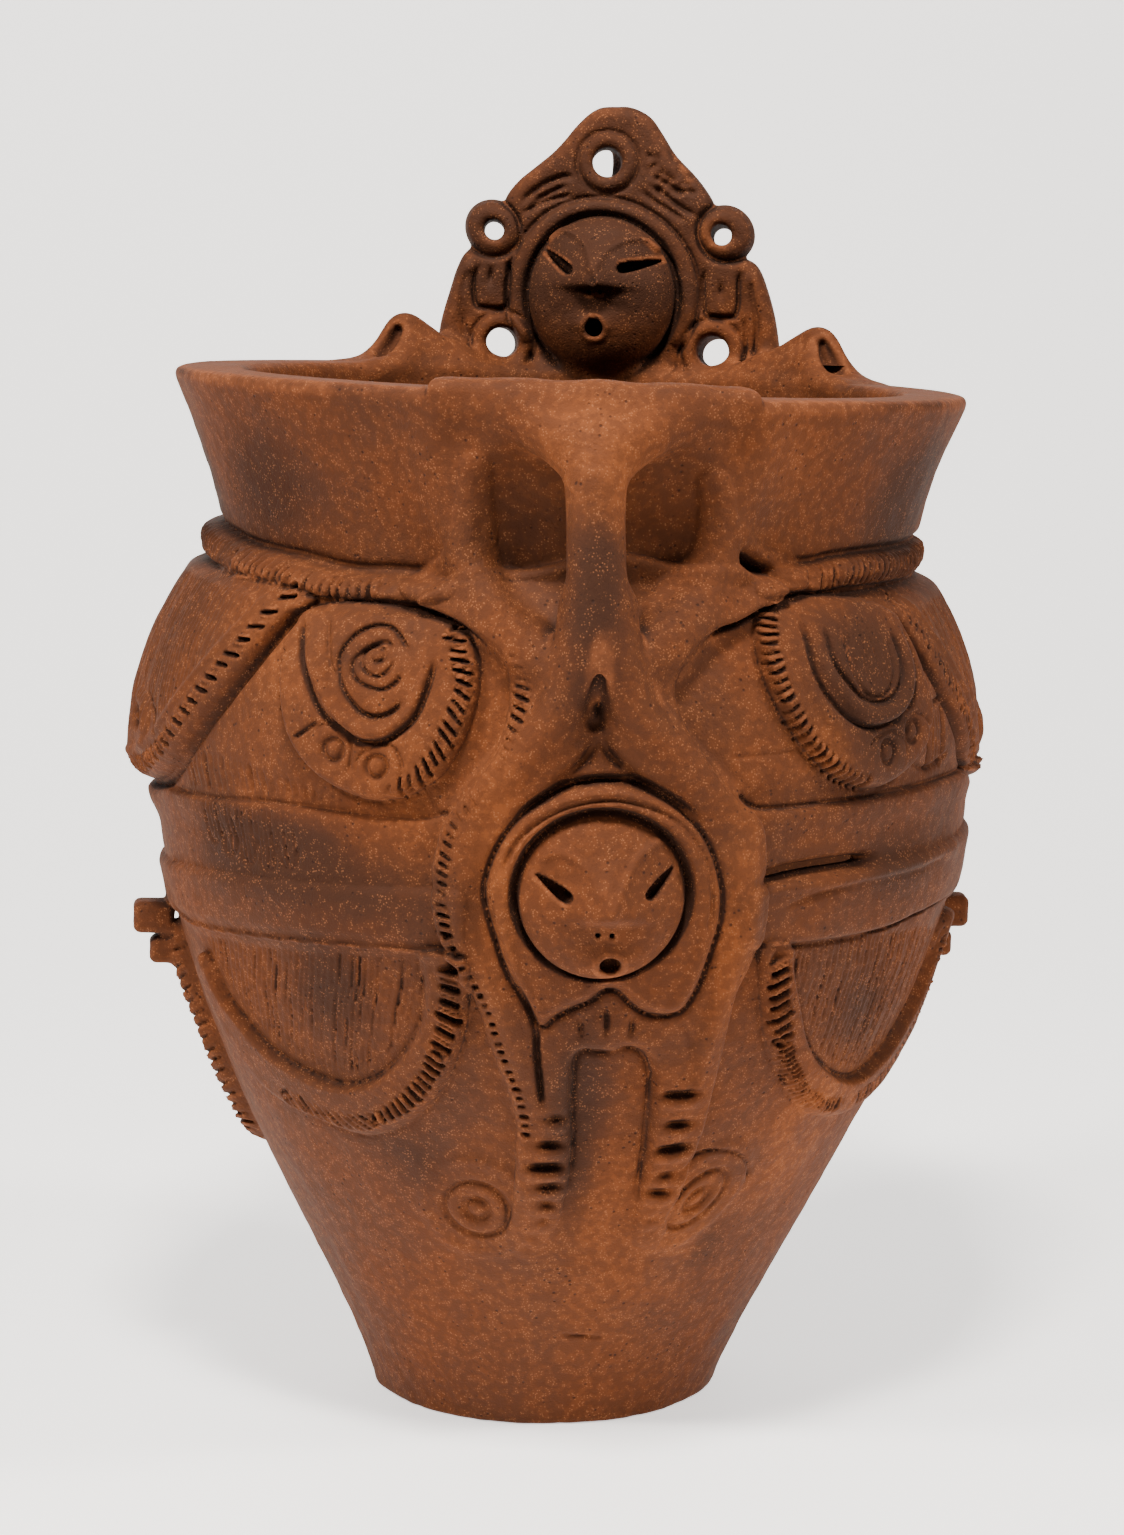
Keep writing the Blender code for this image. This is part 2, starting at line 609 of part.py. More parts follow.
def build():
    jar = vessel()
    mask_shapes, mask_cutters = belly_mask()
    plaque_shapes, plaque_cutters = plaque()
    laid_on = (pads() + figure_field() + neck_rope() + pendants() + lugs() + bridge() + hood()
               + mask_shapes + arms() + roundels())
    for shape in laid_on:
        boolean(jar, shape, 'UNION')
    boolean(jar, cavity(), 'DIFFERENCE')
    for shape in peaks() + plaque_shapes:
        boolean(jar, shape, 'UNION')
    for cutter in mask_cutters + plaque_cutters:
        boolean(jar, cutter, 'DIFFERENCE')
    lean = Matrix.Rotation(LEAN, 4, 'Y')
    for shape in list(TOOLS.objects) + [jar]:
        shape.matrix_world = lean @ shape.matrix_world
    boolean(jar, ground(), 'DIFFERENCE')
    jar.data.materials.append(clay())


build()
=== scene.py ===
"""Looks of the earthenware jar: its clay, its fine relief, and the studio round it.

The jar is one body of clay, so its surface is one field: how far any point lies from the clay.
Low relief is drawn on unrolled maps of the wall and of the plaque, and added to the field.
Sizes are in metres and angles in degrees. The field is shaped upright, azimuth 0 at the front and
positive towards +X, and the finished mesh is leaned as the real jar leans.
"""
import math

import bmesh
import bpy
import numpy as np
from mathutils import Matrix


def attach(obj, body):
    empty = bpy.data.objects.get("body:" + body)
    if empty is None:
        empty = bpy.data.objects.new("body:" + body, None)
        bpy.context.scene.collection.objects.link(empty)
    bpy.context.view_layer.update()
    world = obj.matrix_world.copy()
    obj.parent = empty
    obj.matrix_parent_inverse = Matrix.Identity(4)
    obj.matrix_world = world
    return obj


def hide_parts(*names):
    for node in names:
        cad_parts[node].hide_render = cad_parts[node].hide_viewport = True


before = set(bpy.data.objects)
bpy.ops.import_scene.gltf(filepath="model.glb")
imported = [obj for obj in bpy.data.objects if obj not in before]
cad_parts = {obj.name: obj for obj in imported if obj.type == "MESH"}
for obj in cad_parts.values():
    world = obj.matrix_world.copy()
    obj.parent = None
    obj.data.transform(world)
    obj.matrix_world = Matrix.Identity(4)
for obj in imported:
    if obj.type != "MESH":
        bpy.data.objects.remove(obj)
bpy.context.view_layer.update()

import openvdb
from mathutils import Matrix, Vector

# Turned vessel, as in the solids
FOOT_RADIUS = 0.0775
BELLY_RADIUS = 0.1830
NECK_RADIUS = 0.1535
RIM_RADIUS = 0.1765
BELLY_HEIGHT = 0.295
NECK_HEIGHT = 0.380
RIM_HEIGHT = 0.4565
WALL = 0.009
FLOOR = 0.012
LIP_WIDTH = 0.032
LIP_ROUND = 0.0035
LEAN = math.radians(1.8)
RIM_TILT = math.radians(0.5)
RELIEF_DEPTH = 1.3
CUT_DEPTH = 1.45
COMB_DEPTH = 1.7

# Plaque on the rim
PLAQUE_AZIMUTH = 168.3
PLAQUE_DISTANCE = 0.157
PLAQUE_THICKNESS = 0.019

MASK_RADIUS = 0.0335
MASK_BULGE = 0.024
MASK_HEIGHT = 0.257

FAR = 0.05


# Curves and blends

def smooth_path(points, pieces, closed=False):
    """Catmull-Rom curve through points of any length."""
    points = np.asarray(points, float)
    count = len(points)
    t = (np.arange(pieces) / pieces)[:, None]
    path = []
    for span in range(count if closed else count - 1):
        if closed:
            a, b, c, d = (points[(span + k) % count] for k in (-1, 0, 1, 2))
        else:
            a, b = points[max(span - 1, 0)], points[span]
            c, d = points[span + 1], points[min(span + 2, count - 1)]
        path.append(0.5 * (2 * b + (c - a) * t + (2 * a - 5 * b + 4 * c - d) * t ** 2
                           + (3 * b - a - 3 * c + d) * t ** 3))
    path.append(points[:1] if closed else points[-1:])
    return np.concatenate(path)


def blend_min(a, b, size):
    """The nearer of two distances, with a fillet of clay where they meet."""
    near = np.maximum(size - np.abs(a - b), 0.0) / size
    return np.minimum(a, b) - near * near * size * 0.25


def blend_max(a, b, size):
    return -blend_min(-a, -b, size)


def ramp(value, start, end):
    """Smooth step from 0 at start to 1 at end."""
    share = np.clip((value - start) / (end - start), 0.0, 1.0)
    return share * share * (3 - 2 * share)


# The turned wall

def body_radius(height):
    """Outer radius of the turned vessel."""
    height = np.asarray(height, float)
    swell = np.sin(np.pi / 2 * np.clip(height / BELLY_HEIGHT, 0, 1)) ** 1.2
    lower = FOOT_RADIUS + (BELLY_RADIUS - FOOT_RADIUS) * swell + 0.35 * np.minimum(height, 0.0)
    share = np.clip((height - BELLY_HEIGHT) / (NECK_HEIGHT - BELLY_HEIGHT), 0, 1)
    shoulder = NECK_RADIUS + (BELLY_RADIUS - NECK_RADIUS) * (1 - share ** 2.4)
    share = np.clip((height - NECK_HEIGHT) / (RIM_HEIGHT - NECK_HEIGHT), 0, 1.1)
    neck = NECK_RADIUS + (RIM_RADIUS - NECK_RADIUS) * share ** 1.5
    return np.where(height <= BELLY_HEIGHT, lower, np.where(height <= NECK_HEIGHT, shoulder, neck))


TABLE_STEP = 0.0005
TABLE_LOW = -0.03
table_heights = np.arange(TABLE_LOW, 0.62, TABLE_STEP)
table_outer = body_radius(table_heights)
table_slope = np.gradient(table_outer, TABLE_STEP)
table_arc = np.concatenate([[0.0], np.cumsum(np.hypot(np.diff(table_outer), TABLE_STEP))])
lower_slope = np.where(table_heights < BELLY_HEIGHT, table_slope, 0.0)
table_inner = np.minimum(np.where(table_heights < NECK_HEIGHT,
                                  table_outer - WALL * np.hypot(1.0, lower_slope), 1.0),
                         np.where(table_heights > NECK_HEIGHT - 0.02, RIM_RADIUS - LIP_WIDTH, 1.0))
smoother = np.hanning(41) / np.hanning(41).sum()
table_inner[20:-20] = np.convolve(table_inner, smoother, 'valid')
table_inner_slope = np.gradient(table_inner, TABLE_STEP)


def look_up(table, height):
    return np.interp(height, table_heights, table)


class Sheet:
    """A map of relief: how far the clay stands out over a surface unrolled flat.

    scale is the length of one unit across, for each row, and arc the length up to it.
    """

    def __init__(self, across, up, scale, arc):
        self.across, self.up, self.scale, self.arc = across, up, scale, arc
        self.relief = np.zeros((len(up), len(across)), np.float32)

    def arc_at(self, up):
        return np.interp(up, self.up, self.arc)

    def scale_at(self, up):
        return np.interp(up, self.up, self.scale)

    def window(self, low, high, reach):
        """Rows and columns of the map within reach of a box."""
        r0, r1 = np.searchsorted(self.up, [low[1] - reach, high[1] + reach])
        if r0 >= r1:
            return None
        margin = reach / max(self.scale[r0:r1].min(), 1e-4)
        c0, c1 = np.searchsorted(self.across, [low[0] - margin, high[0] + margin])
        if c0 >= c1:
            return None
        return slice(r0, r1), slice(c0, c1)

    def trace(self, points, reach, closed=False, pieces=6):
        """Window round a smooth line, with distance to it, length along it, side of it,
        its whole length, and what the points' further columns come to beside it."""
        path = smooth_path(points, pieces, closed)
        window = self.window(path[:, :2].min(0), path[:, :2].max(0), reach)
        if window is None:
            return None
        rows, cols = window
        shape = (rows.stop - rows.start, cols.stop - cols.start)
        best = np.full(shape, reach * reach, np.float32)
        along = np.zeros(shape, np.float32)
        side = np.ones(shape, np.float32)
        extra = [np.full(shape, path[0, k], np.float32) for k in range(2, path.shape[1])]
        start = 0.0
        for a, b in zip(path[:-1], path[1:]):
            rise = self.arc_at(b[1]) - self.arc_at(a[1])
            length = math.hypot((b[0] - a[0]) * self.scale_at((a[1] + b[1]) / 2), rise)
            part = self.window(np.minimum(a, b), np.maximum(a, b), reach)
            if part is not None and length > 1e-7:
                r, c = part
                scale = self.scale[r][:, None]
                du = (self.across[c][None, :] - a[0]) * scale
                dv = (self.arc[r] - self.arc_at(a[1]))[:, None]
                eu = (b[0] - a[0]) * scale
                share = np.clip((du * eu + dv * rise) / (eu * eu + rise * rise), 0, 1)
                gap = (du - share * eu) ** 2 + (dv - share * rise) ** 2
                inner = (slice(r.start - rows.start, r.stop - rows.start),
                         slice(c.start - cols.start, c.stop - cols.start))
                nearer = gap < best[inner]
                best[inner] = np.where(nearer, gap, best[inner])
                along[inner] = np.where(nearer, start + share * length, along[inner])
                side[inner] = np.where(nearer, np.sign(eu * dv - rise * du), side[inner])
                for k, column in enumerate(extra):
                    value = a[k + 2] + (b[k + 2] - a[k + 2]) * share
                    column[inner] = np.where(nearer, value, column[inner])
            start += length
        return window, np.sqrt(best), along, side, start, extra

    def inside(self, outline, reach, pieces=6):
        """Window round a closed outline, with the distance to it, below zero inside."""
        window, gap = self.trace(outline, reach, closed=True, pieces=pieces)[:2]
        rows, cols = window
        path = smooth_path(outline, pieces, True)
        u = self.across[cols][None, :]
        v = self.up[rows][:, None]
        odd = np.zeros(gap.shape, bool)
        for a, b in zip(path[:-1], path[1:]):
            if a[1] == b[1]:
                continue
            crosses = (v > min(a[1], b[1])) & (v <= max(a[1], b[1]))
            odd ^= crosses & (u < a[0] + (v - a[1]) / (b[1] - a[1]) * (b[0] - a[0]))
        return window, np.where(odd, -gap, gap)

    def add(self, window, height):
        self.relief[window] += height

    def sample(self, u, v, grid=None):
        grid = self.relief if grid is None else grid
        step_u = self.across[1] - self.across[0]
        step_v = self.up[1] - self.up[0]
        x = np.clip((u - self.across[0]) / step_u, 0, len(self.across) - 1.001)
        y = np.clip((v - self.up[0]) / step_v, 0, len(self.up) - 1.001)
        i, j = y.astype(np.int32), x.astype(np.int32)
        fy, fx = (y - i).astype(np.float32), (x - j).astype(np.float32)
        low = grid[i, j] * (1 - fx) + grid[i, j + 1] * fx
        high = grid[i + 1, j] * (1 - fx) + grid[i + 1, j + 1] * fx
        return low * (1 - fy) + high * fy


# Strokes of the potter's hand. Lines and outlines are lists of places on a sheet.

def roll(sheet, points, half_width=None, proud=None, closed=False, soft=0.5):
    """A roll of clay laid along a line. Four-column points give its half width and height."""
    widest = half_width or max(point[2] for point in points)
    found = sheet.trace(points, widest * 1.7, closed)
    if found is None:
        return
    window, gap, _, _, _, extra = found
    if half_width is None:
        half_width, proud = extra
    crest = np.sqrt(np.clip(1 - (gap / half_width) ** 2, 0, 1))
    foot = np.exp(-(gap / half_width) ** 2 * 2.2)
    sheet.add(window, proud * ((1 - soft) * crest + soft * foot))


def groove(sheet, points, half_width, depth, closed=False, taper=0.0):
    """A cut line, shallower over the taper's length at each end."""
    found = sheet.trace(points, half_width * 2.2, closed)
    if found is None:
        return
    window, gap, along, _, length, _ = found
    ends = 1.0 if not taper else ramp(np.minimum(along, length - along), -0.1 * taper, taper)
    sheet.add(window, -CUT_DEPTH * depth * ends * np.exp(-(gap / half_width) ** 2 * 1.2))


def crease(sheet, points, reach, step, sharp=0.0012, taper=0.012):
    """A step down to the line's right side, which fades away from the line."""
    found = sheet.trace(points, reach)
    if found is None:
        return
    window, gap, along, side, length, _ = found
    signed = gap * side
    ends = ramp(np.minimum(along, length - along), 0.0, taper)
    fade = 1 - ramp(gap, 0.25 * reach, reach)
    sheet.add(window, step * ends * fade * (ramp(signed, -sharp, sharp) - 0.5))


def pad(sheet, outline, proud, edge, fade=None, pieces=6):
    """A flat pad of clay with a rounded edge; fade gives two heights between which it grows."""
    window, gap = sheet.inside(outline, edge * 1.2, pieces)
    share = np.clip((edge * 0.25 - gap) / edge, 0, 1)
    height = proud * np.sqrt(np.clip(1 - (1 - share) ** 2, 0, 1))
    if fade:
        height = height * ramp(sheet.up[window[0]], *fade)[:, None]
    sheet.add(window, height)


def level(sheet, outline, height, edge):
    """Brings an area to one height."""
    window, gap = sheet.inside(outline, edge * 1.2)
    share = ramp(-gap, -edge, edge)
    here = sheet.relief[window]
    sheet.relief[window] = here + (height - here) * share


def notches(sheet, points, pitch, length, depth, slant=0.0, width=0.28, seed=1, offset=0.0,
            closed=False, lip=0.25):
    """Short cuts pressed across a line, each a little out of step with the next."""
    found = sheet.trace(points, length * 0.75 + abs(offset), closed)
    if found is None:
        return
    window, gap, along, side, _, _ = found
    across = gap * side - offset
    phase = (along + slant * across) / pitch
    number = np.floor(phase + 0.5).astype(np.int32)
    random = np.random.RandomState(seed).rand(3, 512)
    index = number % 512
    shift = 0.22 * (random[0][index] - 0.5)
    strength = 0.65 + 0.7 * random[1][index]
    reach = length * (0.40 + 0.2 * random[2][index])
    off = (phase - number - shift) / width
    cut = np.exp(-off ** 2 * 2.0) - lip * np.exp(-(np.abs(off) - 1.5) ** 2 * 4.0)
    ends = 1 - ramp(np.abs(across), reach * 0.65, reach)
    sheet.add(window, -CUT_DEPTH * depth * strength * cut * ends)


def comb(sheet, outline, pitch, depth, lean=0.0, seed=1, soft=0.004, wander=1.0):
    """Fine lines scratched downwards over an area."""
    window, gap = sheet.inside(outline, soft * 1.5)
    rows, cols = window
    u = sheet.across[cols][None, :] * sheet.scale[rows].max()
    v = sheet.arc[rows][:, None]
    drift = wander * (0.25 * np.sin(v * 95 + u * 31 + seed) + 0.18 * np.sin(v * 260 + seed * 3))
    phase = (u + lean * v) / pitch + drift
    number = np.floor(phase + 0.5).astype(np.int32)
    random = np.random.RandomState(seed).rand(3, 512)
    index = number % 512
    strength = 0.35 + 0.9 * random[0][index]
    shift = 0.35 * (random[1][index] - 0.5)
    broken = 0.75 + 0.25 * np.sin(v * (120 + 90 * random[2][index]) + 9 * random[1][index])
    cut = np.exp(-((phase - number - shift) / 0.27) ** 2 * 2.0)
    sheet.add(window, -COMB_DEPTH * depth * strength * broken * cut * ramp(-gap, 0, soft))


def ringed_dot(sheet, place, pit, boss, depth, oval=(1.0, 1.0)):
    """A small boss in the middle of a pressed ring."""
    u, v = place
    window = sheet.window(place, place, pit * 1.8)
    rows, cols = window
    x = (sheet.across[cols][None, :] - u) * sheet.scale[rows][:, None] / oval[0]
    y = (sheet.arc[rows] - sheet.arc_at(v))[:, None] / oval[1]
    gap = np.hypot(x, y)
    middle, spread = (pit + boss) / 2, (pit - boss) / 2
    sheet.add(window, -depth * np.exp(-((gap - middle) / spread) ** 2 * 1.4))


def noise(sheet, cells, seed):
    """Smooth noise between -1 and 1, of so many cells up and round; it wraps across."""
    grid = np.random.RandomState(seed).uniform(-1, 1, (cells[0] + 2, cells[1]))
    span = sheet.up[-1] - sheet.up[0]
    y = (sheet.up - sheet.up[0]) / span * cells[0]
    x = (sheet.across + 180.0) / 360.0 * cells[1]
    i, j = np.floor(y).astype(int), np.floor(x).astype(int)
    fy = ramp(y - i, 0, 1)[:, None]
    fx = ramp(x - j, 0, 1)[None, :]
    j, k = j % cells[1], (j + 1) % cells[1]
    low = grid[i][:, j] * (1 - fx) + grid[i][:, k] * fx
    high = grid[i + 1][:, j] * (1 - fx) + grid[i + 1][:, k] * fx
    return low * (1 - fy) + high * fy


# Relief on the wall; places are (azimuth, height in millimetres)

def mm(points):
    """Heights, and any half width and proudness after them, from millimetres."""
    return [(point[0], *(value / 1000 for value in point[1:])) for point in points]


def mirrored(points, middle, other):
    """The same line on the other side of the jar."""
    return [(other - (point[0] - middle), *point[1:]) for point in points]


def new_wall():
    step = 0.125
    across = np.arange(-181.0, 181.0 + step, step)
    up = np.arange(-0.012, 0.47, 0.0004)
    scale = math.radians(1) * body_radius(up)
    return Sheet(across, up, scale, look_up(table_arc, up))


def hand_shape(wall):
    """The slight unevenness of a pot built and scraped by hand."""
    wall.relief += 0.0008 * noise(wall, (4, 7), 3) + 0.0005 * noise(wall, (11, 22), 4)
    wall.relief += 0.00022 * noise(wall, (38, 96), 5) + 0.00012 * noise(wall, (110, 160), 6)


LEFT_CUT = [(-183, 276), (-150, 272), (-130, 274), (-110, 272), (-89, 272), (-75, 277), (-60.7, 279),
            (-50, 282), (-40.4, 283), (-25.5, 283), (-20.4, 287)]
RIGHT_CUT = [(17.2, 296), (18.5, 292), (21.8, 290), (31.7, 291), (42, 292), (52.3, 293), (65, 293),
             (77.3, 292), (100, 288), (130, 280), (160, 277), (183, 276)]


def belly_bands(wall):
    crease(wall, mm(LEFT_CUT), 0.016, -0.0022, taper=0.004)
    crease(wall, mm(RIGHT_CUT), 0.016, -0.0026, taper=0.004)
    groove(wall, mm(LEFT_CUT), 0.0010, 0.0010)
    groove(wall, mm(RIGHT_CUT), 0.0011, 0.0014)
    band = [(-183, 256), (-140, 246), (-110, 240), (-83.7, 241), (-70, 244), (-56.8, 247), (-40, 250),
            (-22, 254), (-18, 254), (-18, 241), (-19, 229), (-31.9, 228), (-44, 225.5), (-55.7, 223),
            (-68, 220), (-80, 219), (-110, 219), (-140, 221), (-183, 228)]
    pad(wall, mm(band), 0.0026, 0.0050)
    crease(wall, mm([(-18, 228.5), (-31.9, 228), (-44, 225.5), (-55.7, 223), (-68, 220), (-80, 219)]),
           0.006, 0.0022, sharp=0.0007, taper=0.003)
    band = [(183, 256), (140, 256), (100, 262), (75, 264), (60, 263), (45, 261), (33, 259), (24, 258),
            (19, 256), (19, 240), (21, 233), (31.8, 231.5), (45.9, 232), (56, 235), (75, 236), (100, 234),
            (140, 229), (183, 228)]
    pad(wall, mm(band), 0.0026, 0.0060)
    groove(wall, mm([(19.5, 259.5), (23.2, 262), (27.3, 264), (34, 265), (42, 265)]), 0.0032, 0.0042,
           taper=0.016)
    roll(wall, mm([(21, 257, 3, 0.4), (28.7, 259, 4, 1.6), (38, 259.5, 5, 1.9), (52, 261, 5, 1.6),
                   (64, 262, 5, 0.8)]))
    groove(wall, mm([(24, 248), (30, 253), (38, 256), (50, 257), (60, 259)]), 0.0016, 0.0009, taper=0.012)
    groove(wall, mm([(21, 233.5), (26, 231.5), (31.8, 231.5), (38.3, 231.5), (45.9, 232.5), (51.8, 234.5),
                     (60, 236), (70, 236)]), 0.0014, 0.0022, taper=0.010)


def neck_rope(wall):
    points = [(-23.0, 376, 5.0, 3.0), (-28.6, 374, 6.0, 6.0), (-34, 374, 6.2, 7.0), (-42, 373, 6.3, 7.6),
              (-53, 376, 6.8, 9.0), (-67.7, 378, 7.2, 10.0), (-90, 382.5, 8.0, 10.5), (-120, 383, 7.4, 9.6),
              (-150, 382, 6.8, 8.6), (-180, 380, 6.4, 7.0), (-210, 381, 6.6, 6.0), (-240, 383, 6.8, 5.0),
              (-270, 385, 6.4, 3.6), (-284, 385, 6.6, 4.4), (-297, 384, 7.0, 6.4), (-308, 384, 7.0, 8.0),
              (-319.5, 383, 6.6, 8.0), (-326, 381, 6.2, 7.4), (-332.5, 381, 5.4, 6.0), (-337, 379, 5, 3)]
    for shift in (0, 360):
        line = mm([(point[0] + shift, *point[1:]) for point in points])
        roll(wall, line, soft=0.05)
        for off in (-0.0085, 0.0080):
            groove(wall, [(a, h + off) for a, h, _, _ in line], 0.0020, 0.0016, taper=0.02)
    line = mm([(point[0], *point[1:2]) for point in points])
    notches(wall, line[2:6], 0.0046, 0.0120, 0.0020, slant=0.12, width=0.22, seed=7)
    notches(wall, line[5:12], 0.0042, 0.0120, 0.0011, slant=0.30, width=0.26, seed=8)
    line = [(a + 360, h) for a, h in line]
    notches(wall, line[8:15], 0.0042, 0.0140, 0.0014, slant=0.25, width=0.28, seed=9)
    notches(wall, line[14:18], 0.0036, 0.0140, 0.0018, slant=-0.22, width=0.28, seed=10)


def left_pad(wall, place):
    """The drop-shaped pad with a spiral, two ringed dots and a notched edge."""
    outline = place([(-45, 363), (-46.6, 354), (-47.1, 346), (-45.9, 331), (-44.4, 318), (-42.2, 307),
                     (-38.3, 297), (-33.6, 291.5), (-29.5, 290.5), (-24.9, 295), (-21.2, 304), (-18.9, 317),
                     (-17.6, 331), (-17.5, 344), (-19, 356), (-22.5, 363), (-30, 366), (-38, 367)])
    pad(wall, outline, 0.0052, 0.0042)
    groove(wall, outline[:11], 0.0020, 0.0010, taper=0.01)
    groove(wall, place([(-44.6, 361), (-43.0, 346), (-40.8, 335), (-38.4, 325), (-35.3, 318), (-32.2, 313.5),
                        (-28.9, 315), (-26.6, 319.5), (-24.7, 326), (-23.6, 337), (-23, 350)]), 0.0015, 0.0022,
           taper=0.010)
    roll(wall, place([(-42, 358, 2.8, 0.8), (-40.9, 346, 3.0, 1.8), (-38.6, 336, 3.2, 2.2),
                      (-36.2, 327.5, 3.4, 2.4), (-33.2, 321, 3.6, 2.6), (-29.9, 318.5, 3.6, 2.6),
                      (-27.2, 322, 3.4, 2.0), (-25.2, 329, 3.2, 1.2), (-24.2, 340, 3, 0.6)]), soft=0.4)
    groove(wall, place([(-40.6, 362), (-39.4, 353), (-38, 343), (-36.2, 334)]), 0.0014, 0.0012, taper=0.008)
    groove(wall, place([(-26.8, 350), (-28.3, 355), (-30.1, 359), (-32.6, 359.5), (-35, 356), (-36.6, 349),
                        (-36.5, 341), (-35.1, 333), (-32.6, 326), (-30.1, 324), (-27.8, 327), (-26.6, 332)]),
           0.0011, 0.0017, taper=0.005)
    groove(wall, place([(-28.9, 351), (-30.5, 353.5), (-32.7, 351), (-34.5, 345), (-34.1, 339.5),
                        (-32.3, 336), (-29.8, 335), (-28, 338), (-27.2, 342.5)]), 0.0010, 0.0015, taper=0.004)
    groove(wall, place([(-28.8, 347), (-29.1, 343), (-30.5, 340), (-32.2, 341), (-33.4, 345), (-33.2, 349),
                        (-31.9, 351.5), (-30.4, 350.5), (-30.2, 347), (-31.2, 345.5), (-32, 347.5)]),
           0.0009, 0.0013, taper=0.003)
    for dot in place([(-35.8, 309.3), (-29.5, 304.3)]):
        ringed_dot(wall, dot, 0.0060, 0.0026, 0.0021)
    for arch in ([(-40.2, 311), (-38.8, 317), (-36.2, 319.5), (-33.8, 316), (-33.1, 308), (-33.6, 299)],
                 [(-32.4, 299), (-32.1, 307), (-30.2, 312), (-27.6, 313), (-26.2, 307), (-25.9, 300)]):
        groove(wall, place(arch), 0.0009, 0.0010, taper=0.004)
    groove(wall, place([(-41.6, 312.5), (-38.6, 319.5)]), 0.0009, 0.0014)
    notches(wall, place([(-21.4, 360), (-20.5, 354), (-19.5, 347), (-18.9, 340), (-19.0, 333), (-19.8, 325),
                         (-20.8, 316), (-22.3, 308), (-24, 301), (-27, 295)]), 0.0047, 0.0085, 0.0024,
            slant=-0.55, width=0.2, seed=21, lip=0.4)
    notches(wall, place([(-46.8, 350), (-46.6, 340), (-46.3, 330), (-45.6, 322)]), 0.0048, 0.0060, 0.0012,
            slant=0.3, width=0.2, seed=22)


def right_pad(wall, place):
    """The pad with a hanging loop, two ringed dots and a notched border."""
    outline = place([(23.4, 372), (21.7, 364), (21.0, 356), (21.2, 346), (22.2, 336), (24.1, 325),
                     (26.8, 314), (30.3, 305), (34.6, 299), (38.7, 296), (42.6, 298), (46.7, 305), (50, 314),
                     (51.2, 327), (50.4, 341), (49.6, 357), (47.6, 368), (40, 373), (30, 374)])
    pad(wall, outline, 0.0052, 0.0042)
    groove(wall, outline[1:14], 0.0020, 0.0010, taper=0.01)
    notches(wall, place([(23.8, 370), (22.6, 363), (22.2, 356), (22.2, 351), (22.6, 346), (23, 340),
                         (23.8, 334), (24.9, 326), (26.7, 318), (28.6, 312), (30.6, 306.5), (33.2, 302),
                         (36.5, 298.5)]), 0.0040, 0.0080, 0.0022, slant=0.2, width=0.24, seed=23, lip=0.35)
    roll(wall, place([(27, 368, 3, 0.3), (26.6, 356, 3.2, 0.9), (26.8, 344, 3.4, 1.2), (28.2, 333, 3.6, 1.3),
                      (30.6, 323, 3.6, 1.2), (33.8, 314, 3.4, 0.7)]))
    roll(wall, place([(29.6, 365, 3.2, 0.8), (29.9, 350, 3.4, 1.6), (31.8, 339, 3.6, 2.2),
                      (34.6, 330, 3.8, 2.6), (37.6, 327, 4, 2.8), (41, 328.5, 4, 2.8), (44.2, 335, 3.6, 2.4),
                      (46.2, 345, 3.4, 1.8), (46.8, 358, 3.2, 0.9)]), soft=0.35)
    groove(wall, place([(28, 366), (28, 348), (29.6, 336), (32.6, 327), (35.9, 322.5), (39.7, 322.5),
                        (43.4, 327), (46.7, 336), (48.2, 350), (48.2, 362)]), 0.0014, 0.0017, taper=0.010)
    groove(wall, place([(32, 364), (31.9, 350), (33.6, 340.5), (35.9, 334), (38.8, 331.5), (42, 334),
                        (44.3, 341), (45.2, 351), (45, 361)]), 0.0013, 0.0017, taper=0.008)
    groove(wall, place([(35, 360), (34.6, 349), (35.2, 341), (36.6, 335.5), (38.8, 334), (41.2, 337),
                        (42.9, 345), (43.3, 357)]), 0.0009, 0.0011, taper=0.006)
    comb(wall, place([(34, 364), (34, 350), (35.5, 338), (38.5, 335), (41.5, 338), (43, 348), (43.5, 364)]),
         0.0026, 0.0007, seed=5)
    for dot in place([(39.8, 311.3), (45.2, 318.5)]):
        ringed_dot(wall, dot, 0.0060, 0.0027, 0.0021, oval=(0.95, 1.1))
    for arch in ([(36, 312), (37.3, 317.5), (40.7, 320), (43.4, 315), (43.4, 308)],
                 [(42.8, 322), (44.3, 325.5), (47.3, 325), (49.6, 319), (49.1, 311)]):
        groove(wall, place(arch), 0.0009, 0.0009, taper=0.004)


